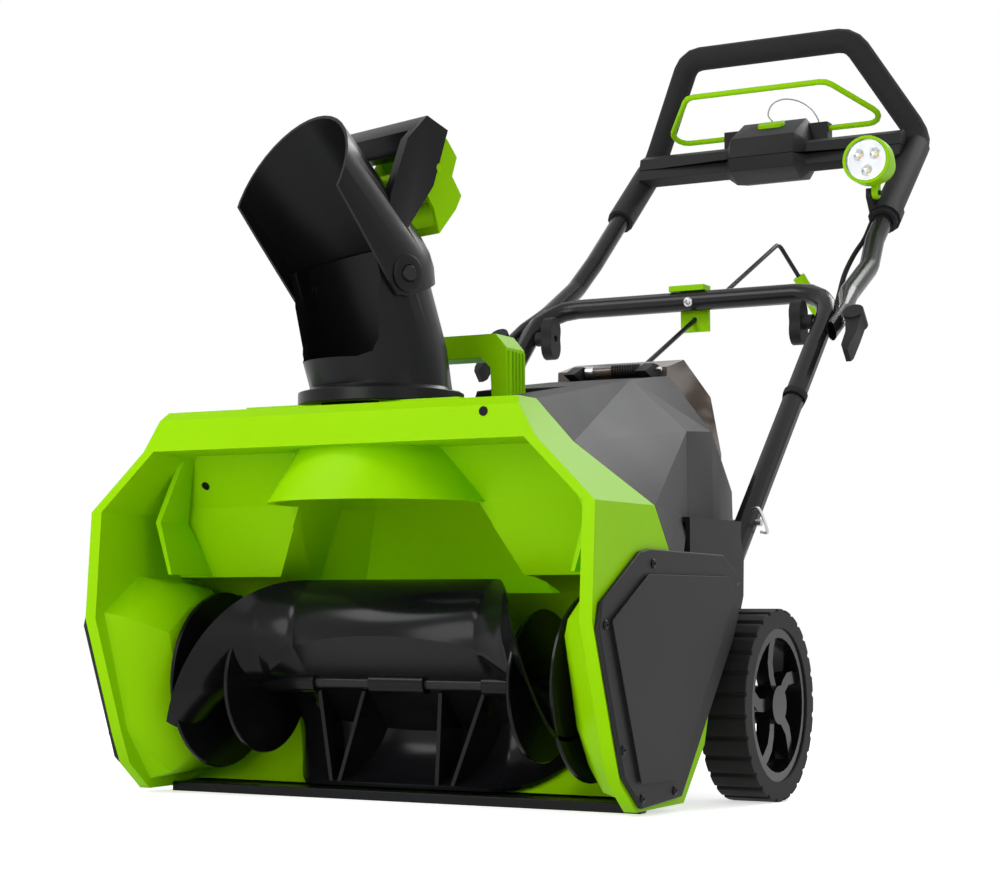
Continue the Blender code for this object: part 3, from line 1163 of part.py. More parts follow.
def make_crank():
    along = (PINION_NOSE - PINION_TAIL).normalized()
    run = (PINION_NOSE - PINION_TAIL).length
    profile = [(0.0, 0.0), (0.0, 0.0055), (0.008, 0.0055), (0.010, PINION_SHAFT_R),
               (run - PINION_LENGTH, PINION_SHAFT_R),
               (run - PINION_LENGTH + 0.001, PINION_R), (run - 0.001, PINION_R - 0.003), (run - 0.001, 0.0)]
    PINION.place("chute_pinion", turned(profile, PINION_TAIL, along, 16), STEEL)
    path = rounded([CRANK_FOOT, CRANK_BEND, CRANK_BEND + ARM_DIR * CRANK_ARM], CRANK_BEND_R)
    CRANK.place("crank_rod", pipe(path, CRANK_R, 10), BLACK_TUBE)
    grip_profile = [(CRANK_GRIP_START, CRANK_R + GAP), (CRANK_GRIP_START, CRANK_GRIP_R * 0.8),
                    (CRANK_GRIP_START + 0.012, CRANK_GRIP_R * 0.75), (CRANK_ARM - 0.020, CRANK_GRIP_R),
                    (CRANK_ARM + 0.001, CRANK_GRIP_R), (CRANK_ARM + 0.004, CRANK_GRIP_R * 0.6),
                    (CRANK_ARM + 0.004, 0.0),
                    (CRANK_ARM + 0.001, 0.0), (CRANK_ARM + 0.001, CRANK_R + GAP)]
    GRIP_BODY.place("crank_grip", turned(grip_profile, CRANK_BEND, ARM_DIR, 18), GREEN)
    plate_y = LEG_TOP[0] + TUBE_R + GAP
    guide = BASE.place("crank_guide", box((GUIDE_X[0], plate_y, GUIDE_Z[0]),
                                          (GUIDE_X[1], plate_y + GUIDE_THICK, GUIDE_Z[1])), GREEN)
    hook = BASE.place("guide_hook", box((GUIDE_X[0] - 0.008, LEG_TOP[0] - 0.006, LEG_TOP[1] + TUBE_R + GAP),
                                        (GUIDE_X[1] + 0.001, plate_y + GUIDE_THICK - 0.001,
                                         GUIDE_Z[1] + 0.001)))
    join(guide, hook)
    cut(guide, BASE.place("guide_hole", rod(crank_point(0.75), crank_point(0.85), CRANK_R + RUN_GAP, 14)))


make_crank()


# Lower handle: one bent tube, pinned into two brackets on the body
def make_lower_handle():
    foot, top = LEG_FOOT, LEG_TOP
    path = rounded([(-LEG_X, *foot), (-LEG_X, *top), (LEG_X, *top), (LEG_X, *foot)], LEG_BEND_R)
    handle = BASE.place("lower_handle", hollow_pipe(path, TUBE_R - TUBE_WALL, TUBE_R), BLACK_TUBE)
    cut(handle, BASE.place("fold_hole", rod_x(-0.3, 0.3, FOLD_YZ, BOLT_R + GAP, 14)),
        BASE.place("leg_pin_hole", rod_x(-0.3, 0.3, LEG_PIN_YZ, LEG_PIN_R + GAP, 14)))
    for side, sign in SIDES.items():
        ends = sorted((sign * BRACKET_X[0], sign * BRACKET_X[1]))
        arm = [(BODY_REAR_Y + GAP, 0.168), *BRACKET_PROFILE, (BODY_REAR_Y + GAP, 0.268)]
        bracket = BASE.place(f"handle_bracket_{side}", prism_x(arm, *ends), CHARCOAL)
        along = Vector((sign * LEG_X, *foot))
        socket = rod(along - LEG_DIR * RUN_GAP, along + LEG_DIR * 0.20, TUBE_R * ROUND_ROOM + GAP, 24)
        cut(bracket, BASE.place("leg_socket", socket))
        pin_x = sorted((sign * (LEG_X - LEG_PIN_REACH), sign * (LEG_X + LEG_PIN_REACH)))
        BASE.place(f"handle_pin_{side}", rod_x(*pin_x, LEG_PIN_YZ, LEG_PIN_R, 14), STEEL)
        bolt_x = sorted((sign * (KNOB_X[0] + 0.004), sign * (CAM_X + 0.002)))
        BASE.place(f"fold_bolt_{side}", rod_x(*bolt_x, FOLD_YZ, BOLT_R, 14), STEEL)


make_lower_handle()


# Upper handle: bent tube with foam grip and sleeves
def make_upper_handle():
    right = [(FOOT_X, *UPPER_FOOT), (FOOT_X, *FOOT_TOP), (UPPER_X, *UPPER_START), (UPPER_X, *UPPER_BEND),
             (LEG_X, *UPPER_IN), (LEG_X, *SHOULDER_YZ), TOP_BAR]
    full = right + [(-x, y, z) for x, y, z in reversed(right)]
    path = rounded(full, TOP_BEND_R)

    def flattened(radius, foot_half):
        rings = sections(path, radius, TUBE_SIDES)
        for centre, ring in zip(path, rings):
            flat = min(1.0, max(0.0, (UPPER_START[0] - centre.y) / (UPPER_START[0] - FOOT_TOP[0])))
            thin = 1.0 + (foot_half / radius - 1.0) * flat
            for corner in ring:
                corner.x = centre.x + (corner.x - centre.x) * thin
        return rings

    outside = flattened(TUBE_R, FOOT_HALF)
    inside = flattened(TUBE_R - TUBE_WALL, FOOT_HALF - TUBE_WALL)
    tube = HANDLE.place("upper_handle", looped(outside + inside[::-1]), BLACK_TUBE)
    cut(tube, HANDLE.place("upper_fold_hole", rod_x(-0.3, 0.3, FOLD_YZ, BOLT_R + GAP, 14)))
    shoulder = Vector((LEG_X, *SHOULDER_YZ))
    start = shoulder - SLEEVE_DIR * FOAM_START
    foam_right = [start, shoulder, Vector(TOP_BAR)]
    foam = rounded(foam_right + [Vector((-p.x, p.y, p.z)) for p in reversed(foam_right)], TOP_BEND_R)
    HANDLE.place("foam_grip", hollow_pipe(foam, TUBE_R + GAP, FOAM_R), FOAM)
    for side, sign in SIDES.items():
        mirror = Vector((sign, 1, 1))
        foot = Vector((LEG_X, *UPPER_IN)) + SLEEVE_DIR * ((SLEEVE_FOOT_Y[side] - UPPER_IN[0]) / SLEEVE_DIR.y)
        ends = [foot * mirror, (start - SLEEVE_DIR * RUN_GAP) * mirror]
        HANDLE.place(f"handle_sleeve_{side}", hollow_pipe(ends, TUBE_R + GAP, SLEEVE_R), CHARCOAL)


make_upper_handle()


# Clamps at the fold: a wing knob inside and a cam lever outside on each bolt
KNOBS, CAMS = {}, {}


def make_clamp(side, sign):
    KNOBS[side] = Body(f"knob_{side}_axis", BASE, (sign * KNOB_X[0], *FOLD_YZ))
    CAMS[side] = Body(f"cam_{side}_axis", HANDLE, (sign * CAM_X, *FOLD_YZ))
    wing = []
    for i in range(24):
        a = math.tau * i / 24
        radius = KNOB_WAIST_R + (KNOB_R - KNOB_WAIST_R) * math.cos(a) ** 2
        wing.append((FOLD_YZ[0] + radius * math.sin(a), FOLD_YZ[1] + radius * math.cos(a)))
    knob = KNOBS[side].place(f"clamp_knob_{side}", prism_x(wing,
                                                           *sorted((sign * KNOB_X[0], sign * KNOB_X[1]))),
                             CHARCOAL)
    hub_x = sorted((sign * (KNOB_X[1] - 0.002), sign * (LEG_X - TUBE_R - RUN_GAP)))
    join(knob, KNOBS[side].place("knob_hub", rod_x(*hub_x, FOLD_YZ, KNOB_HUB_R, 16)))
    cut(knob, KNOBS[side].place("knob_bore", rod_x(-0.3, 0.3, FOLD_YZ, BOLT_R + GAP, 14)))
    centre = Vector((sign * CAM_X, *FOLD_YZ))
    cross = LEG_DIR.cross(X_AXIS).normalized()
    head = loft([circle(centre + cross * s, cross, CAM_R, 20) for s in (-CAM_WIDTH / 2, CAM_WIDTH / 2)])
    lever = CAMS[side].place(f"cam_lever_{side}", head, CHARCOAL)
    rings = []
    for share, half_wide, x_low, x_high in ((0.0, 0.010, -0.010, 0.011), (0.5, 0.009, -0.002, 0.012),
                                            (0.9, 0.011, 0.000, 0.010), (1.0, 0.009, 0.003, 0.009)):
        middle = centre - LEG_DIR * (CAM_ARM * share)
        rings.append([middle + cross * (half_wide * a) + X_AXIS * (sign * b)
                      for a, b in ((-1, x_low), (1, x_low), (1, x_high), (-1, x_high))])
    join(lever, CAMS[side].place("cam_arm", loft(rings)))
    slot_half = BOLT_R + 0.0007
    near, far = centre - LEG_DIR * slot_half, centre + LEG_DIR * 0.03
    slot = []
    for end in (near, far):
        slot.append([end + cross * (a * slot_half) + X_AXIS * (sign * b)
                     for a, b in ((-1, -0.03), (1, -0.03), (1, slot_half), (-1, slot_half))])
    cut(lever, CAMS[side].place("cam_slot", loft(slot)))


for side_name, side_sign in SIDES.items():
    make_clamp(side_name, side_sign)


# Switch housing: two halves between the sleeves, with the start button's pocket and the bail's tabs
FACET = Vector((0, BOX_UPPER[2][0] - BOX_UPPER[1][0], BOX_UPPER[2][1] - BOX_UPPER[1][1]))
FACET_UP = FACET.normalized()
FACET_OUT = FACET_UP.cross(X_AXIS).normalized()
if FACET_OUT.z < 0:
    FACET_OUT = -FACET_OUT
BUTTON_AT = Vector((0, *BOX_UPPER[1])) + FACET * BUTTON_UP_SLOPE
BUTTON = Body("button_axis", HANDLE, BUTTON_AT)


def slab(half, along, low, high, corner=0.0):
    """A block on the sloping facet: its half width, half length up the slope, and reach along its normal."""
    rings = []
    for reach, shrink in ((low, 0.0), (high, corner)):
        middle = BUTTON_AT + FACET_OUT * reach
        rings.append([middle + X_AXIS * (a * (half - shrink)) + FACET_UP * (b * (along - shrink))
                      for a, b in ((-1, -0.4), (-0.7, -1), (0.7, -1), (1, -0.4), (1, 1), (-1, 1))])
    return loft(rings)


def make_switch_housing():
    xs = [(-ARM_END_X, 0), (-BOX_HALF - BOX_SHOULDER, 0), (-BOX_HALF, 1), (BOX_HALF, 1),
          (BOX_HALF + BOX_SHOULDER, 0),
          (ARM_END_X, 0)]
    sleeve_cut = [hollow_free(sign) for sign in SIDES.values()]
    lower = HANDLE.place("switch_housing_lower", loft([across((ARM_LOWER, BOX_LOWER)[k], x) for x,
                                                       k in xs]), CHARCOAL)
    upper = HANDLE.place("switch_housing_upper", loft([across((ARM_UPPER, BOX_UPPER)[k], x) for x,
                                                       k in xs]), CHARCOAL)
    inner_xs = [(-SWITCH_HOLLOW_X, 0), (-BOX_HALF - BOX_SHOULDER, 0), (SWITCH_WALL - BOX_HALF, 1),
                (BOX_HALF - SWITCH_WALL, 1), (BOX_HALF + BOX_SHOULDER, 0), (SWITCH_HOLLOW_X, 0)]

    def hollow(outlines, past_parting):
        """The room inside one half, run past the parting face so that it opens there."""
        rooms = []
        for outline in outlines:
            room = inset(outline, SWITCH_WALL)
            for end in (0, -1):
                room[end] = (room[end][0], room[end][1] + past_parting)
            rooms.append(room)
        return HANDLE.place("switch_room", loft([across(rooms[k], x) for x, k in inner_xs]))

    cut(lower, *sleeve_cut, hollow((ARM_LOWER, BOX_LOWER), 2 * SWITCH_WALL))
    cut(upper, hollow((ARM_UPPER[::-1], BOX_UPPER[::-1]), -2 * SWITCH_WALL))
    for sign in SIDES.values():
        ends = sorted((sign * TAB_X[0], sign * TAB_X[1]))
        tab = box((ends[0], BAIL_YZ[0] - TAB_HALF_Y, PARTING_Z + 0.012),
                  (ends[1], BAIL_YZ[0] + TAB_HALF_Y, TAB_TOP_Z))
        join(upper, HANDLE.place("bail_tab", tab))
    pocket = slab(BUTTON_HALF + GAP, BUTTON_ALONG + GAP, -BUTTON_SINK - BUTTON_TRAVEL - 0.0015, 0.02)
    holes = [rod_x(*sorted((s * (BAIL_END_X - RUN_GAP), s * 0.1)), BAIL_YZ, BAIL_R + RUN_GAP,
                   14) for s in SIDES.values()]
    cut(upper, *sleeve_cut, *[HANDLE.place("bail_hole", mesh) for mesh in holes],
        HANDLE.place("button_pocket", pocket))
    BUTTON.place("start_button", slab(BUTTON_HALF, BUTTON_ALONG, -BUTTON_SINK, BUTTON_PROUD, 0.002), GREEN)


def hollow_free(sign):
    middle = Vector((sign * LEG_X, *UPPER_IN))
    return HANDLE.place("sleeve_room", rod(middle, middle + SLEEVE_DIR * 0.4, SLEEVE_R * ROUND_ROOM + GAP,
                                           24))


make_switch_housing()
HANDLE.place("key_tether", pipe(smooth(TETHER_POINTS, 0.006), TETHER_R, 8), BLACK_TUBE)

BAIL_RIGHT = [(BAIL_END_X, *BAIL_YZ), (BAIL_CORNER_X, *BAIL_YZ), BAIL_TOP]
BAIL_PATH = BAIL_RIGHT + [(-x, y, z) for x, y, z in reversed(BAIL_RIGHT)]
BAIL.place("bail", pipe(rounded(BAIL_PATH, BAIL_BEND_R), BAIL_R, 10), GREEN)


# Headlight on the right sleeve
def make_headlight():
    face = Vector((LAMP_X, LAMP_FACE_Y, LAMP_Z))
    depth = LAMP_REAR_Y - LAMP_FACE_Y
    shell = [(0.0, LENS_R + GAP), (0.0, LAMP_R), (0.022, LAMP_R), (depth - 0.010, LAMP_REAR_R + 0.003),
             (depth, LAMP_REAR_R),
             (depth, 0.0), (0.020, 0.0), (0.020, LENS_R + GAP)]
    body = LAMP.place("headlight_body", turned(shell, face, Y_AXIS, 28), GREEN)
    lug = [(LAMP_PIVOT_YZ[0] + LAMP_LUG_R * math.cos(a), LAMP_PIVOT_YZ[1] + LAMP_LUG_R * math.sin(a))
           for a in (math.pi + math.pi * i / 8 for i in range(9))]
    lug += [(LAMP_PIVOT_YZ[0] + LAMP_LUG_R, LAMP_Z - LAMP_REAR_R + 0.003),
            (LAMP_PIVOT_YZ[0] - LAMP_LUG_R, LAMP_Z - LAMP_REAR_R + 0.003)]
    join(body, LAMP.place("lamp_lug", prism_x(lug, *LAMP_LUG_X)))
    cut(body, LAMP.place("lamp_lug_hole", rod_x(0.1, 0.3, LAMP_PIVOT_YZ, LAMP_PIN_R + GAP, 12)))
    dish = [(0.004, LENS_R - 0.001), (0.004, LENS_R), (0.0195, LENS_R), (0.0195, 0.0), (0.015, 0.0)]
    LAMP.place("headlight_reflector", turned(dish, face, Y_AXIS, 28), SILVER)
    LAMP.place("headlight_lens", rod(face + Y_AXIS * 0.0005, face + Y_AXIS * 0.0036, LENS_R, 28), CLEAR)
    root = Vector((LEG_X, *UPPER_IN))
    pivot = Vector((LEG_X, *LAMP_PIVOT_YZ))
    foot = root + SLEEVE_DIR * SLEEVE_DIR.dot(pivot - root)
    rise = (pivot - foot).normalized()
    collar = [foot - SLEEVE_DIR * COLLAR_HALF, foot + SLEEVE_DIR * COLLAR_HALF]
    bracket = HANDLE.place("headlight_bracket", hollow_pipe(collar, SLEEVE_R + GAP, SLEEVE_R + COLLAR_WALL),
                           CHARCOAL)
    ear = [foot - SLEEVE_DIR * COLLAR_HALF * 0.9, foot + SLEEVE_DIR * COLLAR_HALF * 0.9,
           pivot + SLEEVE_DIR * LAMP_LUG_R, pivot + rise * LAMP_LUG_R, pivot - SLEEVE_DIR * LAMP_LUG_R]
    ear_part = HANDLE.place("lamp_ear", prism_x([(p.y, p.z) for p in ear], *LAMP_EAR_X))
    cut(ear_part, HANDLE.place("ear_room", rod(foot - SLEEVE_DIR * 0.1, foot + SLEEVE_DIR * 0.1,
                                               SLEEVE_R + COLLAR_WALL / 2, 24)))
    pin_x = (LAMP_EAR_X[0] + 0.001, LAMP_LUG_X[1] + 0.003)
    join(bracket, ear_part, HANDLE.place("lamp_pin", rod_x(*pin_x, LAMP_PIVOT_YZ, LAMP_PIN_R, 12)))


make_headlight()

# Power cable, held along the right leg and up to the right sleeve
for cable_name, cable_body, cable_points in (("power_cable_lower", BASE, CABLE_LOWER),
                                             ("power_cable_upper", HANDLE, CABLE_UPPER)):
    cable_body.place(cable_name, pipe(smooth(cable_points, 0.015), CABLE_R, 8), RUBBER)


# The machine stands on its tyres and scraper, with the origin under the middle of its box
def stand():
    BASE.empty.rotation_euler.x = STANCE
    bpy.context.view_layer.update()
    graph = bpy.context.evaluated_depsgraph_get()
    points = []
    for piece in SCENE.objects:
        if piece.type != "MESH" or piece.hide_render:
            continue
        shown = piece.evaluated_get(graph)
        points += [shown.matrix_world @ corner.co for corner in shown.data.vertices]
    low = Vector([min(p[k] for p in points) for k in range(3)])
    high = Vector([max(p[k] for p in points) for k in range(3)])
    BASE.empty.location = Vector((-(low.x + high.x) / 2, -(low.y + high.y) / 2, -low.z))


stand()
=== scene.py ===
import json
import math

import bmesh
import bpy
import numpy as np
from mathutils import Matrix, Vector


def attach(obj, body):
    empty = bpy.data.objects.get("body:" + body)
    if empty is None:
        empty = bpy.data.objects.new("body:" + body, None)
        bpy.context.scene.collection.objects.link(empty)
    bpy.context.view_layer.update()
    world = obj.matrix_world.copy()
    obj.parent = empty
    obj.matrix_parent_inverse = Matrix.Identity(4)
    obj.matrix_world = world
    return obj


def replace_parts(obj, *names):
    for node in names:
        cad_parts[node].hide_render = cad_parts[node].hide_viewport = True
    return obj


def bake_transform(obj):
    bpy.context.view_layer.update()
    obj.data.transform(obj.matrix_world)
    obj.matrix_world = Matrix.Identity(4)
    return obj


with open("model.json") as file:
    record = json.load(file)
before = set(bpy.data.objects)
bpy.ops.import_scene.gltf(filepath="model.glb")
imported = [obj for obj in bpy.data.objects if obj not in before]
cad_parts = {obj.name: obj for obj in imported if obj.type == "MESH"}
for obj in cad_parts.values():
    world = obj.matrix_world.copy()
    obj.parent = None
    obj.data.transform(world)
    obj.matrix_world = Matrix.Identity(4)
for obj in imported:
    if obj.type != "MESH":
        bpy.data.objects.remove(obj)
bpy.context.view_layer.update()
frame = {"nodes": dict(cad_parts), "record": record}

# The studio: a white floor and backdrop under four soft lights, as for a catalogue photograph.
# The camera stands about two metres off at knee height, in front of the machine and to the operator's left.
CAMERA_AT = (1.035, -2.1533, 0.1251)
CAMERA_TURN_DEG = (95.958, -0.943, 28.186)
LENS_MM = 76.26
SENSOR_MM = 36.0
LAMPS_FACE = Vector((0.0, 0.0, 0.35))
SOFTBOXES = [("key", (-1.6, -2.6, 2.6), 1.8, 44.0), ("fill", (2.8, -1.6, 1.6), 2.2, 15.0),
             ("rim", (0.6, 2.6, 2.8), 1.6, 50.0), ("front", (-0.2, -3.2, 0.7), 1.6, 26.0)]
FLOOR_HALF = 14.0
FLOOR_GLOW = 0.60
ROOM_LIGHT = 0.42
BACKDROP_RAYS = ("Is Camera Ray", "Is Glossy Ray", "Is Transmission Ray")
scene = bpy.context.scene
scene.view_settings.view_transform = "Standard"


def linked(name, data):
    made = bpy.data.objects.new(name, data)
    scene.collection.objects.link(made)
    return made


camera = linked("camera", bpy.data.cameras.new("camera"))
camera.location = CAMERA_AT
camera.rotation_euler = [math.radians(a) for a in CAMERA_TURN_DEG]
camera.data.lens = LENS_MM
camera.data.sensor_width = SENSOR_MM
scene.camera = camera

for lamp_name, lamp_at, lamp_size, lamp_watts in SOFTBOXES:
    lamp = linked(lamp_name, bpy.data.lights.new(lamp_name, "AREA"))
    lamp.location = lamp_at
    lamp.rotation_euler = (LAMPS_FACE - Vector(lamp_at)).to_track_quat("-Z", "Y").to_euler()
    lamp.data.shape = "DISK"
    lamp.data.size = lamp_size
    lamp.data.energy = lamp_watts


class Value:
    """A number in a shader. Operators on it add Math nodes to its tree."""

    def __init__(self, tree, socket):
        self.tree = tree
        self.socket = socket

    def math(self, operation, other):
        node = self.tree.nodes.new("ShaderNodeMath")
        node.operation = operation
        for slot, term in zip(node.inputs, (self, other)):
            if isinstance(term, Value):
                self.tree.links.new(term.socket, slot)
            else:
                slot.default_value = term
        return Value(self.tree, node.outputs[0])

    def __add__(self, other):
        return self.math("ADD", other)

    def __mul__(self, other):
        return self.math("MULTIPLY", other)

    def maximum(self, other):
        return self.math("MAXIMUM", other)

    __radd__ = __add__
    __rmul__ = __mul__


class Finish:
    """A material with one Principled shader. One method adds any node, with its settings and its sockets."""

    def __init__(self, name, **fixed):
        self.material = bpy.data.materials.new(name)
        self.material.use_nodes = True
        self.tree = self.material.node_tree
        self.shader = self.tree.nodes["Principled BSDF"]
        for socket, value in fixed.items():
            self.set(self.shader, socket.replace("_", " "), value)

    def set(self, node, socket, value):
        if isinstance(value, Value):
            value = value.socket
        if isinstance(value, bpy.types.NodeSocket):
            self.tree.links.new(value, node.inputs[socket])
        else:
            node.inputs[socket].default_value = value

    def node(self, kind, settings=None, sockets=None):
        made = self.tree.nodes.new("ShaderNode" + kind)
        for key, value in (settings or {}).items():
            setattr(made, key, value)
        for socket, value in (sockets or {}).items():
            self.set(made, socket, value)
        return made

    def place(self):
        return self.node("TexCoord").outputs["Object"]

    def noise(self, scale, detail=2.0, stretch=None):
        where = self.place()
        if stretch:
            where = self.node("Mapping", None, {"Vector": where, "Scale": stretch}).outputs[0]
        made = self.node("TexNoise", None, {"Vector": where, "Scale": scale, "Detail": detail})
        return Value(self.tree, made.outputs[0])

    def pits(self, scale):
        made = self.node("TexVoronoi", None, {"Vector": self.place(), "Scale": scale})
        return Value(self.tree, made.outputs["Distance"])

    def tint(self, low, high, amount):
        mixed = self.node("Mix", {"data_type": "RGBA"}, {0: amount, 6: (*low, 1.0), 7: (*high, 1.0)})
        self.set(self.shader, "Base Color", mixed.outputs[2])

    def rough(self, value):
        self.set(self.shader, "Roughness", value)

    def bump(self, height, strength, distance):
        node = self.node("Bump", None, {"Height": height, "Strength": strength, "Distance": distance})
        self.set(self.shader, "Normal", node.outputs[0])


def backdrop_sight(tree):
    """One for a ray from the camera, a shiny face or clear plastic, else nought: the largest of the flags."""
    path = tree.nodes.new("ShaderNodeLightPath")
    seen, shine, through = (Value(tree, path.outputs[ray]) for ray in BACKDROP_RAYS)
    return seen.maximum(shine).maximum(through)


white = Finish("studio floor", Emission_Strength=FLOOR_GLOW, Specular_IOR_Level=0.1)
floor_mottle = white.noise(1.2)
white.tint((0.86, 0.86, 0.86), (0.89, 0.89, 0.89), floor_mottle)
white.rough(floor_mottle * 0.1 + 0.75)
white.set(white.shader, "Emission Color", backdrop_sight(white.tree))
floor_mesh = bpy.data.meshes.new("floor")
corners = [(FLOOR_HALF * x, FLOOR_HALF * y, 0) for x, y in ((-1, -1), (1, -1), (1, 1), (-1, 1))]
floor_mesh.from_pydata(corners, [], [(0, 1, 2, 3)])
floor = linked("floor", floor_mesh)
floor_mesh.materials.append(white.material)

world = bpy.data.worlds.new("studio")
world.use_nodes = True
scene.world = world
backdrop = world.node_tree.nodes["Background"]
backdrop.inputs["Color"].default_value = (1.0, 1.0, 1.0, 1.0)
glow = backdrop_sight(world.node_tree) * (1.0 - ROOM_LIGHT) + ROOM_LIGHT
world.node_tree.links.new(glow.socket, backdrop.inputs["Strength"])

# Auger housing: the lime green moulding that scoops up the snow, open in front and underneath.
# It is injection moulded in one piece with a fine satin grain, and its edges are rounded.
BODY_OF = {node: body for body, nodes in frame["record"]["behaviour"]["bodies"].items() for node in nodes}
SLOT_OF = {row["node"]: row["material_slot"] for row in frame["record"]["subparts"]}
SMOOTH_DEG = 38.0
FLAT_DEG = 0.6
DOUBLES_M = 2e-6
CLOUD_SCALE = 9.0
CLOUD_SHARE = 0.7
CLOUD_ROUGH = 0.10
GRAIN_ROUGH = 0.08
HOUSING_EDGE = 0.0016


def moulded(name, low, high, roughness, grain, strength, depth, **fixed):
    """Moulded plastic or paint: cloudy colour between two tones, and a fine grain that roughness follows."""
    made = Finish(name, **fixed)
    cloud = made.noise(CLOUD_SCALE, 3.0)
    fine = made.noise(grain)
    made.tint(low, high, cloud * CLOUD_SHARE + fine * (1.0 - CLOUD_SHARE))
    made.rough(cloud * CLOUD_ROUGH + fine * GRAIN_ROUGH + (roughness - (CLOUD_ROUGH + GRAIN_ROUGH) / 2))
    made.bump(fine, strength, depth)
    return made


def shaded(piece, finish, smooth_deg):
    piece.data.materials.clear()
    piece.data.materials.append(finish.material)
    piece.data.shade_smooth()
    piece.data.set_sharp_from_angle(angle=math.radians(smooth_deg))


def refined(node, finish, edge=0.0, segments=2):
    """The node's own shape with its doubles merged, flat faces joined and edges rounded, in a finish."""
    work = bmesh.new()
    work.from_mesh(frame["nodes"][node].data)
    bmesh.ops.remove_doubles(work, verts=work.verts, dist=DOUBLES_M)
    bmesh.ops.dissolve_limit(work, angle_limit=math.radians(FLAT_DEG), verts=work.verts, edges=work.edges)
    mesh = bpy.data.meshes.new(node + "_shape")
    work.to_mesh(mesh)
    work.free()
    piece = linked(node + "_shape", mesh)
    shaded(piece, finish, SMOOTH_DEG)
    if edge:
        bevel = piece.modifiers.new("edge", "BEVEL")
        bevel.width = edge
        bevel.segments = segments
        bevel.limit_method = "ANGLE"
        bevel.angle_limit = math.radians(SMOOTH_DEG)
        bevel.use_clamp_overlap = True
        bevel.harden_normals = True
    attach(piece, BODY_OF[node])
    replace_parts(piece, node)
    return piece


LIME = moulded("lime plastic", low=(0.285, 0.625, 0.0), high=(0.320, 0.690, 0.001), roughness=0.40,
               grain=1400.0, strength=0.12, depth=0.0002, Specular_IOR_Level=0.06)
refined("auger_housing", LIME, HOUSING_EDGE)

# Carry handle: a lime green bow on top of the housing, with finger ribs on the outer face of each post.
# The ribs are half round and upright, five to a post, and are moulded in one with it.
STANCE = math.radians(1.99514)
MACHINE_SHIFT = (0.0, -0.508497, -0.01171)
ROUND_DEG = 60.0
SIDES = (("left", -1), ("right", 1))
CARRY_EDGE = 0.0030
CARRY_RIBS = 5
CARRY_RIB_R = 0.0016
CARRY_RIB_X = 0.0816
CARRY_RIB_Y = 0.1605
CARRY_RIB_Z = (0.386, 0.438)
CARRY_RIB_PITCH = 0.0068


def standing(points):
    """Points in the machine's level frame, leant forwards by its stance and moved to stand on the ground."""
    p = np.asarray(points, float)
    c, s = math.cos(STANCE), math.sin(STANCE)
    y, z = p[..., 1], p[..., 2]
    return np.stack([p[..., 0], y * c - z * s + MACHINE_SHIFT[1], y * s + z * c + MACHINE_SHIFT[2]], -1)


def grid_mesh(points, close_u=False, close_v=False):
    """A mesh on a grid of points (rows u, columns v), joined round where asked, its faces turned outwards."""
    rows, columns = points.shape[:2]
    index = np.arange(rows * columns).reshape(rows, columns)
    if close_u:
        index = np.vstack([index, index[:1]])
    if close_v:
        index = np.hstack([index, index[:, :1]])
    faces = np.stack([index[:-1, :-1], index[1:, :-1], index[1:, 1:], index[:-1, 1:]], -1).reshape(-1, 4)
    mesh = bpy.data.meshes.new("surface")
    mesh.from_pydata(points.reshape(-1, 3).tolist(), [], faces.tolist())
    work = bmesh.new()
    work.from_mesh(mesh)
    bmesh.ops.remove_doubles(work, verts=work.verts, dist=1e-6)
    bmesh.ops.recalc_face_normals(work, faces=work.faces)
    work.to_mesh(mesh)
    work.free()
    return mesh


def swept(route, radius, sides):
    """A round tube: circles square to a route, each turned from the last without twist, its ends closed."""
    route = np.asarray(route, float)
    along = np.gradient(route, axis=0)
    along /= np.linalg.norm(along, axis=1)[:, None]
    side = np.cross(along[0], (0.0, 0.0, 1.0))
    if np.linalg.norm(side) < 1e-4:
        side = np.array((1.0, 0.0, 0.0))
    rings = []
    angles = np.linspace(0.0, math.tau, sides, endpoint=False)[:, None]
    for point, heading in zip(route, along):
        side = side - heading * side.dot(heading)
        side /= np.linalg.norm(side)
        rings.append(point + radius * (np.cos(angles) * side + np.sin(angles) * np.cross(heading, side)))
    start = np.repeat(route[:1], sides, 0)
    end = np.repeat(route[-1:], sides, 0)
    return grid_mesh(np.stack([start, *rings, end]), close_v=True)


def added(name, mesh, finish, body, smooth_deg=SMOOTH_DEG):
    """A new piece in a finish, riding on a body. One given no body here rides on none. One that bends
    over a joint has no body here.
    """
    mesh.name = name
    piece = linked(name, mesh)
    shaded(piece, finish, smooth_deg)
    if body:
        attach(piece, body)
    return piece


refined("carry_handle", LIME, CARRY_EDGE, segments=3)
for side, sign in SIDES:
    for k in range(CARRY_RIBS):
        y = CARRY_RIB_Y + CARRY_RIB_PITCH * k
        route = [(sign * CARRY_RIB_X, y, z) for z in np.linspace(*CARRY_RIB_Z, 14)]
        added(f"carry_rib_{side}_{k + 1}", swept(standing(route), CARRY_RIB_R, sides=10), LIME, "base",
              ROUND_DEG)

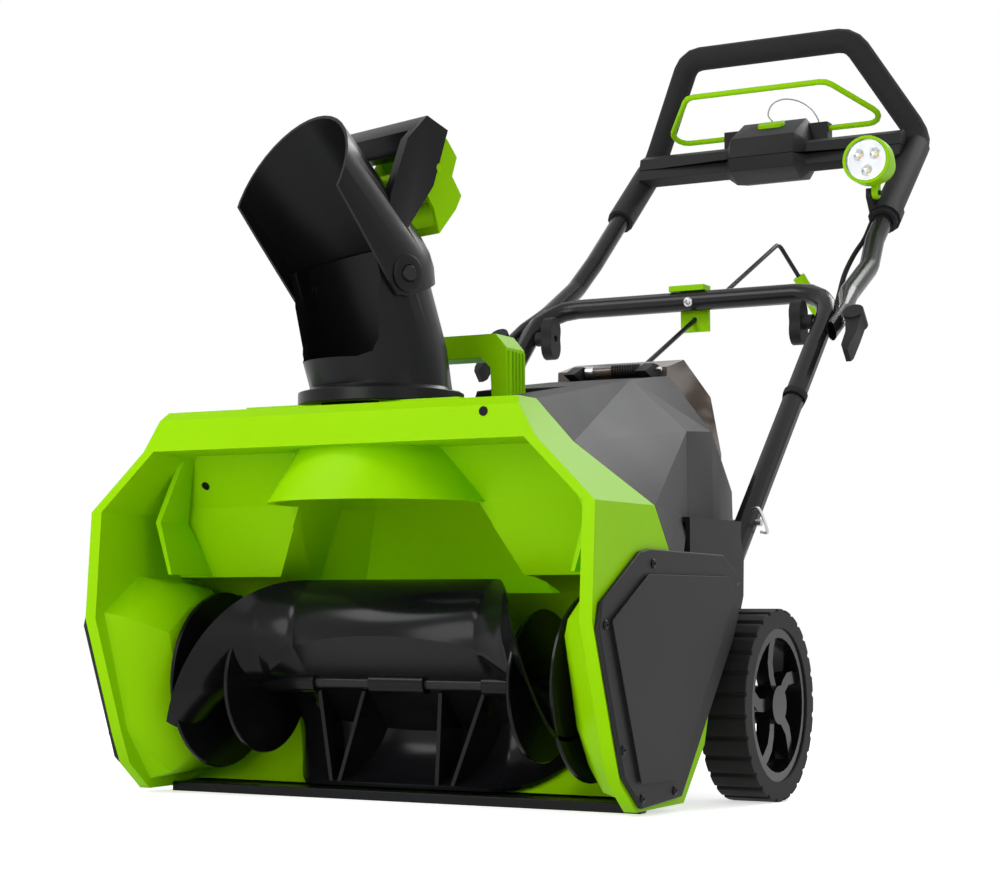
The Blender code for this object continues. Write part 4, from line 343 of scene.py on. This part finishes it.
# Auger: a gloss black rotor, moulded in one, that turns with its shaft: two bent blades half a turn apart,
# with webs, discs and sleeves. Each blade is flat from the hub to an arched crease, and curls from there to
# a tip that sweeps round at the ends.
AUGER_YZ = (0.091, 0.119)
BLADE_R = 0.096
BLADE_HALF = 0.205
BLADE_THICK = 0.004
BLADE_ROWS = 121
BLADES = [(0.0, -1), (180.0, 1)]        # turn in degrees, and the way along the shaft that its webs run
HUB_R = 0.0105
ROOT_R = 0.0065
TIP_DEG = 88.0
SWEEP_DEG = 115.0
SWEEP_FROM = 0.100
SWEEP_OVER = 0.106
SWEEP_POWER = 1.3
CREASE_DEG = 47.0
CREASE_HALF = 0.135
CREASE_LOW_R = 1.4 * HUB_R
CREASE_TOP_R = 0.065
BELLY_OUT = 0.004
FLAT_STEPS = 6
CURL_STEPS = 16
WEB_ROOT_R = 0.8 * HUB_R
WEBS = [(-0.090, -0.074), (-0.040, -0.066), (0.044, 0.042), (0.090, 0.058)]
SLEEVES = [(-0.205, -0.092), (-0.030, 0.030), (0.092, 0.205)]
SLEEVE_EDGE = 0.0006
DISCS = [(-0.203, 0.086), (-0.152, 0.070), (0.152, 0.070), (0.203, 0.086)]
DISC_HALF = 0.002
DISC_EDGE = 0.001


def blade_section(x, turn_deg):
    """The blade's middle line at each x: straight to the crease, then a parabola by the belly to the tip."""
    x = np.asarray(x, float)[:, None]
    sweep = np.clip((np.abs(x) - SWEEP_FROM) / SWEEP_OVER, 0.0, 1.0) ** SWEEP_POWER
    tip = np.radians(TIP_DEG + SWEEP_DEG * sweep + turn_deg)
    crease = tip + math.radians(CREASE_DEG)
    arch = np.sqrt(np.clip(1.0 - (x / CREASE_HALF) ** 2, 0.0, 1.0))
    crease_r = CREASE_LOW_R + (CREASE_TOP_R - CREASE_LOW_R) * arch
    belly_r = (crease_r + BLADE_R) / 2 + BELLY_OUT

    def polar(radius, angle):
        return np.stack([radius * np.cos(angle), radius * np.sin(angle)], -1)

    hub, fold = polar(ROOT_R, crease), polar(crease_r, crease)
    belly, end = polar(belly_r, (crease + tip) / 2), polar(BLADE_R, tip)
    pull = 2 * belly - (fold + end) / 2
    straight = np.linspace(0.0, 1.0, FLAT_STEPS, endpoint=False)[None, :, None]
    t = np.linspace(0.0, 1.0, CURL_STEPS)[None, :, None]
    curl = (1 - t) ** 2 * fold + 2 * t * (1 - t) * pull + t**2 * end
    return np.concatenate([hub + (fold - hub) * straight, curl], 1)


def auger_space(x, flat):
    """Points of a section (offsets from the shaft) set at x along the shaft, where the machine stands."""
    along = np.broadcast_to(x, flat.shape[:-1])
    return standing(np.stack([along, AUGER_YZ[0] + flat[..., 0], AUGER_YZ[1] + flat[..., 1]], -1))


def blade(turn_deg):
    """The middle line thickened to both sides along its normals, carried along the shaft, its ends closed."""
    x = np.linspace(-BLADE_HALF, BLADE_HALF, BLADE_ROWS)
    line = blade_section(x, turn_deg)
    slope = np.gradient(line, axis=1)
    slope /= np.linalg.norm(slope, axis=2)[..., None]
    normal = np.stack([-slope[..., 1], slope[..., 0]], -1) * (BLADE_THICK / 2)
    skin = np.concatenate([line + normal, (line - normal)[:, ::-1]], 1)
    ends = np.concatenate([line, line[:, ::-1]], 1)
    rings = np.concatenate([ends[:1], skin, ends[-1:]])
    along = np.concatenate([x[:1], x, x[-1:]])[:, None]
    return grid_mesh(auger_space(along, rings), close_v=True)


def web(top_x, tip_x, turn_deg, way):
    """A slanting plate inside the blade, bounded by the blade's own line and a straight free edge."""
    line = blade_section([top_x], turn_deg)[0]
    end_angle = math.radians(TIP_DEG + turn_deg)
    root = WEB_ROOT_R * np.array((math.cos(end_angle), math.sin(end_angle)))
    outline = np.vstack([line, root])
    share = np.concatenate([np.zeros(FLAT_STEPS), np.linspace(0.0, 1.0, CURL_STEPS), [0.0]])
    x = way * (top_x + (tip_x - top_x) * share)
    middle = np.broadcast_to(outline.mean(0), outline.shape)
    half = BLADE_THICK / 2
    rows = [auger_space(x.mean() - half, middle), auger_space(x - half, outline),
            auger_space(x + half, outline), auger_space(x.mean() + half, middle)]
    return grid_mesh(np.stack(rows), close_v=True)


def turned_surface(profile, at, axis, sides=28):
    """A profile of (distance along the axis, radius) turned round the axis, its ends closed on the axis."""
    axis = np.asarray(axis, float) / np.linalg.norm(axis)
    side = np.cross(axis, (0.0, 0.0, 1.0) if abs(axis[2]) < 0.9 else (1.0, 0.0, 0.0))
    side /= np.linalg.norm(side)
    up = np.cross(side, axis)
    along, radius = np.array(profile, float).T
    angle = np.linspace(0.0, math.tau, sides, endpoint=False)
    spread = np.cos(angle)[:, None] * side + np.sin(angle)[:, None] * up
    points = np.asarray(at, float) + along[:, None, None] * axis + radius[:, None, None] * spread
    return grid_mesh(standing(points), close_v=True)


def drum(start, end, radius, edge):
    """The profile of a solid drum from start to end along its axis, its two rims cut back by the edge."""
    return [(start, 0.0), (start, radius - edge), (start + edge, radius), (end - edge, radius),
            (end, radius - edge), (end, 0.0)]


def merged(meshes):
    work = bmesh.new()
    for mesh in meshes:
        work.from_mesh(mesh)
        bpy.data.meshes.remove(mesh)
    made = bpy.data.meshes.new("merged")
    work.to_mesh(made)
    work.free()
    return made


rotor = [blade(turn_deg) for turn_deg, way in BLADES]
rotor += [web(top_x, tip_x, turn_deg, way) for turn_deg, way in BLADES for top_x, tip_x in WEBS]
for start_x, end_x in SLEEVES:
    sleeve = drum(0.0, end_x - start_x, HUB_R, SLEEVE_EDGE)
    rotor.append(turned_surface(sleeve, (start_x, *AUGER_YZ), (1, 0, 0), sides=36))
for disc_x, disc_r in DISCS:
    disc = drum(-DISC_HALF, DISC_HALF, disc_r, DISC_EDGE)
    rotor.append(turned_surface(disc, (disc_x, *AUGER_YZ), (1, 0, 0), sides=72))
GLOSS = moulded("gloss black plastic", low=(0.004, 0.004, 0.005), high=(0.007, 0.007, 0.008), roughness=0.19,
                grain=700.0, strength=0.05, depth=0.0001, Specular_IOR_Level=0.16)
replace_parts(added("auger_blades", merged(rotor), GLOSS, "auger"), "auger_rotor")

# Steel pieces: shafts, pins, bolts, pulleys and bearings, zinc plated, with faint turning marks.
# The auger's shaft and the hood's pivot pins are powder coated black instead, like the handle tubes.
STEEL_EDGE = 0.0004
COATED_EDGE = 0.0006
COATED_PINS = ("auger_shaft", "deflector_pin_left", "deflector_pin_right")
STEEL = Finish("zinc plated steel", Metallic=1.0)
turning = STEEL.noise(60.0, 3.0, stretch=(12.0, 1.0, 1.0))
STEEL.tint((0.42, 0.42, 0.43), (0.66, 0.66, 0.68), turning)
STEEL.rough(turning * 0.22 + 0.22)
STEEL.bump(turning, strength=0.1, distance=0.0002)
COATED = moulded("black powder coat", low=(0.010, 0.010, 0.011), high=(0.016, 0.016, 0.017), roughness=0.24,
                 grain=520.0, strength=0.10, depth=0.0003, Coat_Weight=0.05, Specular_IOR_Level=0.18)
for node, slot_name in SLOT_OF.items():
    if slot_name == "bright_steel" and node not in COATED_PINS:
        refined(node, STEEL, STEEL_EDGE)
for node in COATED_PINS:
    refined(node, COATED, COATED_EDGE)

# Drive belt: a black rubber loop from the motor's pulley to the auger's, under the right side cover.
# The same rubber, dull with a dusty bloom, makes the tyres and the cable's jacket.
RUBBER = moulded("black rubber", low=(0.005, 0.005, 0.005), high=(0.012, 0.012, 0.012), roughness=0.66,
                 grain=600.0, strength=0.25, depth=0.0003, Specular_IOR_Level=0.2)
refined("drive_belt", RUBBER)

# Moulding holes: one in the housing's green lip and one in the intake's back wall.
# Each is drawn as a small gloss black cup with a rounded rim, set on the face that it goes through: painted
# shade for the hole's dark inside.
HOLE_SHADE_PROFILE = [(0.0002, 0.0), (0.0002, 0.0030), (0.0007, 0.0036), (0.0004, 0.0042), (-0.0004, 0.0044)]
HOLE_SHADES = [("lip_hole_shade", (0.1571, -0.0326, 0.3606), (0, -1, 0.07)),
         ("wall_hole_shade", (-0.199, 0.0518, 0.3087), (0, -0.853, -0.522))]
# Each black cup is painted shade, set where the hole's dark inside shows.
for name, at, axis in HOLE_SHADES:
    added(name, turned_surface(HOLE_SHADE_PROFILE, at, axis), GLOSS, "base")

# Scraper bar: a satin black plastic strip along the housing's bottom edge.
# It is the piece that rubs on the ground and takes the wear.
SCRAPER_EDGE = 0.0008
SATIN = moulded("satin black plastic", low=(0.004, 0.004, 0.005), high=(0.008, 0.008, 0.009), roughness=0.30,
                grain=900.0, strength=0.12, depth=0.0002, Specular_IOR_Level=0.14)
refined("scraper_bar", SATIN, SCRAPER_EDGE)

# Side covers: charcoal mouldings with a spark-eroded texture, one over each end of the auger housing.
# Each is held by five black pan-head screws with a cross recess.
COVER_EDGE = 0.0018
COVER_FACE_X = 0.2723
COVER_SCREW_R = 0.0042
COVER_SCREW_HIGH = 0.0022
COVER_SCREWS = [(0.068, 0.229), (-0.030, 0.176), (0.004, 0.070), (0.042, 0.026), (0.112, 0.028)]
HEAD_SHARES = (0.0, 0.15, 0.3, 0.4, 0.5, 0.56, 0.7, 0.85, 0.95, 1.0, 1.0)
HEAD_FALL = 0.6
HEAD_FOOT = -0.0002
RECESS_HALF = 0.13
RECESS_REACH = 0.53
RECESS_DEEP = 0.55
CHARCOAL = moulded("charcoal plastic", low=(0.014, 0.014, 0.015), high=(0.023, 0.023, 0.025), roughness=0.50,
                   grain=1100.0, strength=0.35, depth=0.0004, Specular_IOR_Level=0.12)


def screw_head(at, axis, radius, height):
    """Height over the head: a dome that falls with the radius to the fourth power, less a crossed recess."""
    axis = np.asarray(axis, float) / np.linalg.norm(axis)
    side = np.cross(axis, (0.0, 0.0, 1.0))
    side /= np.linalg.norm(side)
    up = np.cross(side, axis)
    share = np.array(HEAD_SHARES)[:, None]
    angle = np.linspace(0.0, math.tau, 40, endpoint=False)
    u, v = share * np.cos(angle), share * np.sin(angle)
    near, far = np.minimum(np.abs(u), np.abs(v)), np.maximum(np.abs(u), np.abs(v))
    dome = height * (1.0 - HEAD_FALL * share**4)
    lift = np.where((near < RECESS_HALF) & (far < RECESS_REACH), dome - RECESS_DEEP * height, dome)
    lift[-1] = HEAD_FOOT
    points = np.asarray(at) + radius * (u[..., None] * side + v[..., None] * up) + lift[..., None] * axis
    return grid_mesh(standing(points), close_v=True)


for side, sign in SIDES:
    refined(f"side_cover_{side}", CHARCOAL, COVER_EDGE, segments=3)
    for k, (y, z) in enumerate(COVER_SCREWS):
        head = screw_head((sign * COVER_FACE_X, y, z), (sign, 0, 0), COVER_SCREW_R, COVER_SCREW_HIGH)
        added(f"cover_screw_{side}_{k + 1}", head, GLOSS, "base")

# Motor housing, upper cover and battery pack: charcoal mouldings with the same texture, behind the auger.
# The cover closes over the motor and forms the bay that the pack slides into.
for node in ("motor_housing", "upper_cover", "battery_pack"):
    refined(node, CHARCOAL, COVER_EDGE, segments=3)

# Battery lid: a smoked clear shell over the bay, so the dark pack under it only just shows.
# It swings on a steel pin, which carries a bright bush and a dark wound spring that closes it.
LID_EDGE = 0.0012
HINGE_YZ = (0.400, 0.4410)
BUSH_X = 0.048
BUSH_LONG = 0.009
BUSH_R = 0.0064
BUSH_BORE_R = 0.0026
SPRING_TURNS = 11
SPRING_X = 0.078
SPRING_LONG = 0.033
SPRING_R = 0.0064
SPRING_WIRE_R = 0.0010
SPRING_DEG = 70.0
SMOKE = Finish("smoked plastic", Transmission_Weight=0.55, IOR=1.46, Specular_IOR_Level=0.5)
smoke_cloud = SMOKE.noise(14.0)
SMOKE.tint((0.16, 0.115, 0.085), (0.24, 0.18, 0.14), smoke_cloud)
SMOKE.rough(smoke_cloud * 0.06 + 0.12)
refined("battery_lid", SMOKE, LID_EDGE, segments=3)
bush = [(0.0, BUSH_BORE_R), (0.0, BUSH_R), (BUSH_LONG, BUSH_R), (BUSH_LONG, BUSH_BORE_R), (0.0, BUSH_BORE_R)]
added("lid_bush", turned_surface(bush, (BUSH_X, *HINGE_YZ), (1, 0, 0)), STEEL, "base")
turn = np.linspace(0.0, math.tau * SPRING_TURNS, 24 * SPRING_TURNS)
coil = np.stack([SPRING_X + SPRING_LONG * turn / turn[-1], HINGE_YZ[0] + SPRING_R * np.cos(turn),
                 HINGE_YZ[1] + SPRING_R * np.sin(turn)], -1)
added("lid_spring", swept(standing(coil), SPRING_WIRE_R, sides=8), COATED, "base", SPRING_DEG)

# Chute: a satin black ring and tube that turn on the deck, with the deflector hood hinged on top.
# Soft ribs cross the hood's grip, a round pad stands under each pivot pin, and the trigger is lime green.
RING_EDGE = 0.0010
HOOD_EDGE = 0.0012
TRIGGER_EDGE = 0.0014
CHUTE_AXIS_Y = 0.055
CHUTE_REST = math.radians(-18.0)
HOOD_RIBS = 4
HOOD_RIB_R = 0.0015
HOOD_RIB_HALF = 0.058
HOOD_RIB_FIRST = 0.15
HOOD_RIB_PITCH = 0.235
GRIP_FRONT_YZ = (0.054, 0.645)
GRIP_RUN_YZ = (0.025, -0.009)
PIVOT_YZ = (0.0230, 0.4929)
HOOD_CHEEK_X = 0.0738
PAD = [(0.0, 0.0), (0.0, 0.0175), (0.0010, 0.0175), (0.0016, 0.0165), (0.0016, 0.0085), (0.0005, 0.0085),
       (0.0005, 0.0)]


def with_chute(points):
    """Points drawn with the chute straight ahead, turned about its upright axis to where it rests."""
    p = np.asarray(points, float)
    c, s = math.cos(CHUTE_REST), math.sin(CHUTE_REST)
    x, y = p[..., 0], p[..., 1] - CHUTE_AXIS_Y
    return np.stack([x * c - y * s, x * s + y * c + CHUTE_AXIS_Y, p[..., 2]], -1)


refined("chute_ring", SATIN, RING_EDGE)
refined("chute_tube", SATIN, RING_EDGE)
refined("deflector_hood", SATIN, HOOD_EDGE, segments=3)
refined("deflector_trigger", LIME, TRIGGER_EDGE)
for k in range(HOOD_RIBS):
    share = HOOD_RIB_FIRST + HOOD_RIB_PITCH * k
    y, z = (front + run * share for front, run in zip(GRIP_FRONT_YZ, GRIP_RUN_YZ))
    route = with_chute([(x, y, z) for x in np.linspace(-HOOD_RIB_HALF, HOOD_RIB_HALF, 24)])
    added(f"hood_rib_{k + 1}", swept(standing(route), HOOD_RIB_R, sides=10), SATIN, "deflector",
          ROUND_DEG)
for side, sign in SIDES:
    at, beyond = with_chute([(sign * HOOD_CHEEK_X, *PIVOT_YZ), (sign * 1.0, *PIVOT_YZ)])
    pad = turned_surface(PAD, at, beyond - at, sides=40)
    added(f"hood_pad_{side}", pad, SATIN, "deflector")

# Wheels: gloss black moulded rims with block-treaded rubber tyres, one at each end of the axle.
# They only carry the machine, and turn freely.
RIM_EDGE = 0.0010
TYRE_EDGE = 0.0012
for side, _ in SIDES:
    refined(f"wheel_rim_{side}", GLOSS, RIM_EDGE)
    refined(f"wheel_tyre_{side}", RUBBER, TYRE_EDGE)

# Lower handle: a bent steel tube, powder coated gloss black, in a charcoal bracket at the foot of each leg.
# A bent spring wire clips through each leg's locking pin.
BRACKET_EDGE = 0.0018
CLIP_WIRE_R = 0.0017
CLIP_WIRE = [(0.2095, 0.4655, 0.2935), (0.2170, 0.4645, 0.2945), (0.2185, 0.4720, 0.2875),
             (0.2185, 0.4830, 0.2765), (0.2170, 0.4905, 0.2695), (0.2095, 0.4895, 0.2705)]


def smooth_route(points, step):
    """Catmull-Rom through the points: each span is a cubic, its end slopes the chords of its neighbours."""
    p = np.asarray(points, float)
    p = np.vstack([2 * p[0] - p[1], p, 2 * p[-1] - p[-2]])
    spans = []
    for a, b, c, d in zip(p, p[1:], p[2:], p[3:]):
        count = max(2, round(np.linalg.norm(c - b) / step))
        t = np.linspace(0.0, 1.0, count, endpoint=False)[:, None]
        bend = (2 * a - 5 * b + 4 * c - d) * t**2 + (3 * b - a - 3 * c + d) * t**3
        spans.append(0.5 * (2 * b + (c - a) * t + bend))
    return np.vstack([*spans, p[-2:-1]])


refined("lower_handle", COATED)
for side, sign in SIDES:
    refined(f"handle_bracket_{side}", CHARCOAL, BRACKET_EDGE, segments=3)
    route = smooth_route([(sign * x, y, z) for x, y, z in CLIP_WIRE], step=0.0015)
    clip = swept(standing(route), CLIP_WIRE_R, sides=12)
    added(f"leg_clip_{side}", clip, STEEL, "base", ROUND_DEG)

# Chute crank: a coated steel rod in a lime green guide on the crossbar, with a lime green grip at its end.
# One bright screw holds the guide.
CONTROL_EDGE = 0.0012
GUIDE_SCREW_AT = (0.0099, 0.7658, 0.5668)
GUIDE_SCREW_R = 0.0060
GUIDE_SCREW_HIGH = 0.0040
refined("crank_rod", COATED)
refined("crank_grip", LIME, CONTROL_EDGE)
refined("crank_guide", LIME, CONTROL_EDGE)
guide_screw = screw_head(GUIDE_SCREW_AT, (0, -1, -0.18), GUIDE_SCREW_R, GUIDE_SCREW_HIGH)
added("guide_screw", guide_screw, STEEL, "base")

# Upper handle: the bent tube that folds over the lower one, held by charcoal knobs and cam levers.
# Its top wears closed-cell foam, dull and finely pitted, with a charcoal sleeve on each leg below it.
SLEEVE_END_EDGE = 0.0010
KNOB_EDGE = 0.0016
FOAM_EDGE = 0.0015
FOAM = Finish("grip foam", Specular_IOR_Level=0.25)
foam_cells = FOAM.pits(1500.0)
foam_cloud = FOAM.noise(30.0, 3.0)
FOAM.tint((0.010, 0.010, 0.011), (0.030, 0.030, 0.031), foam_cells * 0.6 + foam_cloud * 0.4)
FOAM.rough(foam_cloud * 0.1 + 0.85)
FOAM.bump(foam_cells, strength=0.5, distance=0.0006)
refined("upper_handle", COATED)
refined("foam_grip", FOAM, FOAM_EDGE, segments=3)
for side, _ in SIDES:
    refined(f"handle_sleeve_{side}", CHARCOAL, SLEEVE_END_EDGE)
    refined(f"clamp_knob_{side}", CHARCOAL, KNOB_EDGE, segments=3)
    refined(f"cam_lever_{side}", CHARCOAL, KNOB_EDGE, segments=3)

# Switch box: two charcoal halves on the handle's cross tube, with a lime green start button and bail.
# The key's tether is a thin clear nylon cord that arches from behind the button to the bail's right tab.
SWITCH_EDGE = 0.0018
TETHER_R = 0.0010
TETHER_ROUTE = [(-0.002, 1.0966, 0.8612), (-0.006, 1.0890, 0.8700), (0.002, 1.0850, 0.8830),
                (0.018, 1.0880, 0.8890), (0.036, 1.0970, 0.8860), (0.050, 1.1060, 0.8760),
                (0.057, 1.1130, 0.8640), (0.0590, 1.1165, 0.8553)]
refined("switch_housing_lower", CHARCOAL, SWITCH_EDGE, segments=3)
refined("switch_housing_upper", CHARCOAL, SWITCH_EDGE, segments=3)
refined("start_button", LIME, CONTROL_EDGE)
refined("bail", LIME)
NYLON = moulded("clear nylon", low=(0.42, 0.42, 0.41), high=(0.58, 0.58, 0.56), roughness=0.30, grain=500.0,
                strength=0.05, depth=0.0001, Transmission_Weight=0.3)
tether_path = standing(smooth_route(TETHER_ROUTE, step=0.003))
cord = swept(tether_path, TETHER_R, sides=10)
tether = added("key_tether_cord", cord, NYLON, "handle", ROUND_DEG)
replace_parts(tether, "key_tether")

# Headlight: a lime green shell on a charcoal bracket, with a clear lens over a silvered plate.
# The plate is pressed into three parabolic cups, and each holds a warm chip.
BRACKET_CLIP_EDGE = 0.0018
LAMP_SHELL_EDGE = 0.0010
LENS_EDGE = 0.0004
LAMP_AT = (0.190, 0.9226, 0.756)
PLATE_R = 0.0262
PLATE_SUNK = 0.0006
PLATE_DEEP = 0.0145
CUP_R = 0.0064
CUP_DEEP = 0.0062
CUP_RIM = 1.12
CUP_RING_R = 0.0128
CUP_TURNS = [math.radians(a) for a in (35.0, 145.0, 270.0)]
CUP_AT = [(CUP_RING_R * math.cos(a), CUP_RING_R * math.sin(a)) for a in CUP_TURNS]
CHIP_SUNK = 0.0014
CHIP = [(0.0, 0.0), (0.0, 0.0017), (0.0012, 0.0021), (0.0012, 0.0)]
SILVER = Finish("silvered dish", Metallic=1.0)
dish_cloud = SILVER.noise(40.0)
SILVER.tint((0.70, 0.70, 0.72), (0.86, 0.86, 0.88), dish_cloud)
SILVER.rough(dish_cloud * 0.1 + 0.12)
CLEAR = Finish("clear lens", Transmission_Weight=1.0, IOR=1.49)
lens_cloud = CLEAR.noise(80.0)
CLEAR.tint((0.93, 0.95, 0.95), (0.99, 1.0, 1.0), lens_cloud)
CLEAR.rough(lens_cloud * 0.04 + 0.03)
WARM = Finish("warm chip", Emission_Strength=0.25)
chip_cloud = WARM.noise(400.0)
WARM.tint((0.85, 0.62, 0.12), (0.95, 0.80, 0.30), chip_cloud)
WARM.rough(chip_cloud * 0.2 + 0.4)


def lamp_dish():
    """A flat round plate, sunk by a parabola inside each cup, with a low rim round each and a closed back."""
    share = np.linspace(0.0, 1.0, 64)[:, None] ** 0.8
    angle = np.linspace(0.0, math.tau, 144, endpoint=False)
    u, v = PLATE_R * share * np.cos(angle), PLATE_R * share * np.sin(angle)
    depth = np.full_like(u, PLATE_SUNK)
    for cup_u, cup_v in CUP_AT:
        reach = np.hypot(u - cup_u, v - cup_v) / CUP_R
        depth = np.where(reach < 1.0, CUP_DEEP * (1.0 - reach**2), depth)
        depth = np.where((reach >= 1.0) & (reach < CUP_RIM), 0.0, depth)
    face = np.stack([LAMP_AT[0] + u, LAMP_AT[1] + depth, LAMP_AT[2] + v], -1)
    back = face[-1:].copy()
    back[..., 1] = LAMP_AT[1] + PLATE_DEEP
    centre = np.broadcast_to((LAMP_AT[0], LAMP_AT[1] + PLATE_DEEP, LAMP_AT[2]), back.shape)
    return grid_mesh(standing(np.concatenate([face, back, centre])), close_v=True)


refined("headlight_bracket", CHARCOAL, BRACKET_CLIP_EDGE, segments=3)
refined("headlight_body", LIME, LAMP_SHELL_EDGE)
refined("headlight_lens", CLEAR, LENS_EDGE)
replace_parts(added("lamp_dish", lamp_dish(), SILVER, "headlight"), "headlight_reflector")
for k, (cup_u, cup_v) in enumerate(CUP_AT):
    at = (LAMP_AT[0] + cup_u, LAMP_AT[1] + CUP_DEEP - CHIP_SUNK, LAMP_AT[2] + cup_v)
    chip = turned_surface(CHIP, at, (0, 1, 0), sides=16)
    added(f"lamp_chip_{k + 1}", chip, WARM, "headlight")

# Power cable: one black lead along the right leg, drawn as one piece past the place where the handle folds.
# A ribbed rubber gland guards it where it leaves the body, and a rubber strap holds it to the leg.
CABLE_R = 0.0033
CABLE_ROUTE = [(0.150, 0.3890, 0.240), (0.150, 0.4150, 0.241), (0.154, 0.4420, 0.243), (0.163, 0.4780, 0.248),
               (0.170, 0.5230, 0.272), (0.174, 0.5700, 0.322), (0.178, 0.6200, 0.374), (0.184, 0.6700, 0.425),
               (0.189, 0.7150, 0.4690), (0.190, 0.7484, 0.5024), (0.189, 0.7760, 0.5250),
               (0.184, 0.8120, 0.5500), (0.177, 0.8500, 0.5770), (0.172, 0.8850, 0.6060),
               (0.174, 0.9150, 0.6340), (0.180, 0.9400, 0.6580), (0.1815, 0.9632, 0.6816)]
GLAND_AT = (0.150, 0.388, 0.240)
GLAND_ALONG = (0, 1, 0.03)
GLAND_FLANGE = [(0.0005, 0.0), (0.0005, 0.0075), (0.003, 0.0075)]
GLAND_TIP = [(0.0245, 0.0040), (0.0245, 0.0)]
GLAND_RIBS = 5
GLAND_PITCH = 0.0040
GLAND_RIB_R = 0.0064
GLAND_RIB_RISE = 0.0015
GLAND_NECK_R = 0.0052
GLAND_TAPER = 0.0004
STRAP_LEG_AT = (0.197, 0.632, 0.4273)
STRAP_LEAD_AT = (0.182, 0.652, 0.4066)
STRAP_WIDTH = 0.011
STRAP_THICK = 0.0022
STRAP_SPARE = 0.0003
LEG_R = 0.0127
LEG_RUN = (0.0, 0.379, 0.3678)
LEG_ALONG = np.array(LEG_RUN) / np.linalg.norm(LEG_RUN)


def strap_band(leg, lead, along, leg_r, lead_r):
    """A loop whose section is a rounded flat band; its radius falls from the leg's to the lead's."""
    leg, lead = np.array(leg), np.array(lead)
    span = np.linalg.norm(lead - leg)
    across = (lead - leg) / span
    outwards = np.cross(along, across)
    angle = np.linspace(0.0, math.tau, 72, endpoint=False)
    band = np.linspace(0.0, math.tau, 12, endpoint=False)
    lift = STRAP_THICK * (0.5 + 0.5 * np.sign(np.cos(band)) * np.abs(np.cos(band)) ** 0.5)
    rise = STRAP_WIDTH / 2 * np.sign(np.sin(band)) * np.abs(np.sin(band)) ** 0.5
    far = np.clip(0.5 + 1.5 * np.cos(angle), 0.0, 1.0)
    radius = leg_r + (lead_r - leg_r) * far
    ring = np.cos(angle)[:, None] * across + np.sin(angle)[:, None] * outwards
    middle = leg + (far * span)[:, None] * across
    spread = (radius[:, None] + lift)[..., None] * ring[:, None, :]
    points = middle[:, None, :] + spread + rise[None, :, None] * along
    return grid_mesh(standing(points), close_u=True, close_v=True)


cable_path = standing(smooth_route(CABLE_ROUTE, step=0.008))
cable = added("power_cable", swept(cable_path, CABLE_R, sides=12), RUBBER, None, ROUND_DEG)
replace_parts(cable, "power_cable_lower", "power_cable_upper")
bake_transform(cable)
gland = list(GLAND_FLANGE)
for k in range(GLAND_RIBS):
    start, taper = GLAND_PITCH * (k + 1), GLAND_TAPER * k
    gland += [(start, GLAND_NECK_R - taper), (start + GLAND_RIB_RISE, GLAND_RIB_R - taper),
              (start + 2 * GLAND_RIB_RISE, GLAND_RIB_R - taper)]
gland += GLAND_TIP
added("cable_gland", turned_surface(gland, GLAND_AT, GLAND_ALONG), RUBBER, "base")
strap = strap_band(STRAP_LEG_AT, STRAP_LEAD_AT, LEG_ALONG, LEG_R, CABLE_R + STRAP_SPARE)
added("cable_strap", strap, RUBBER, "base")
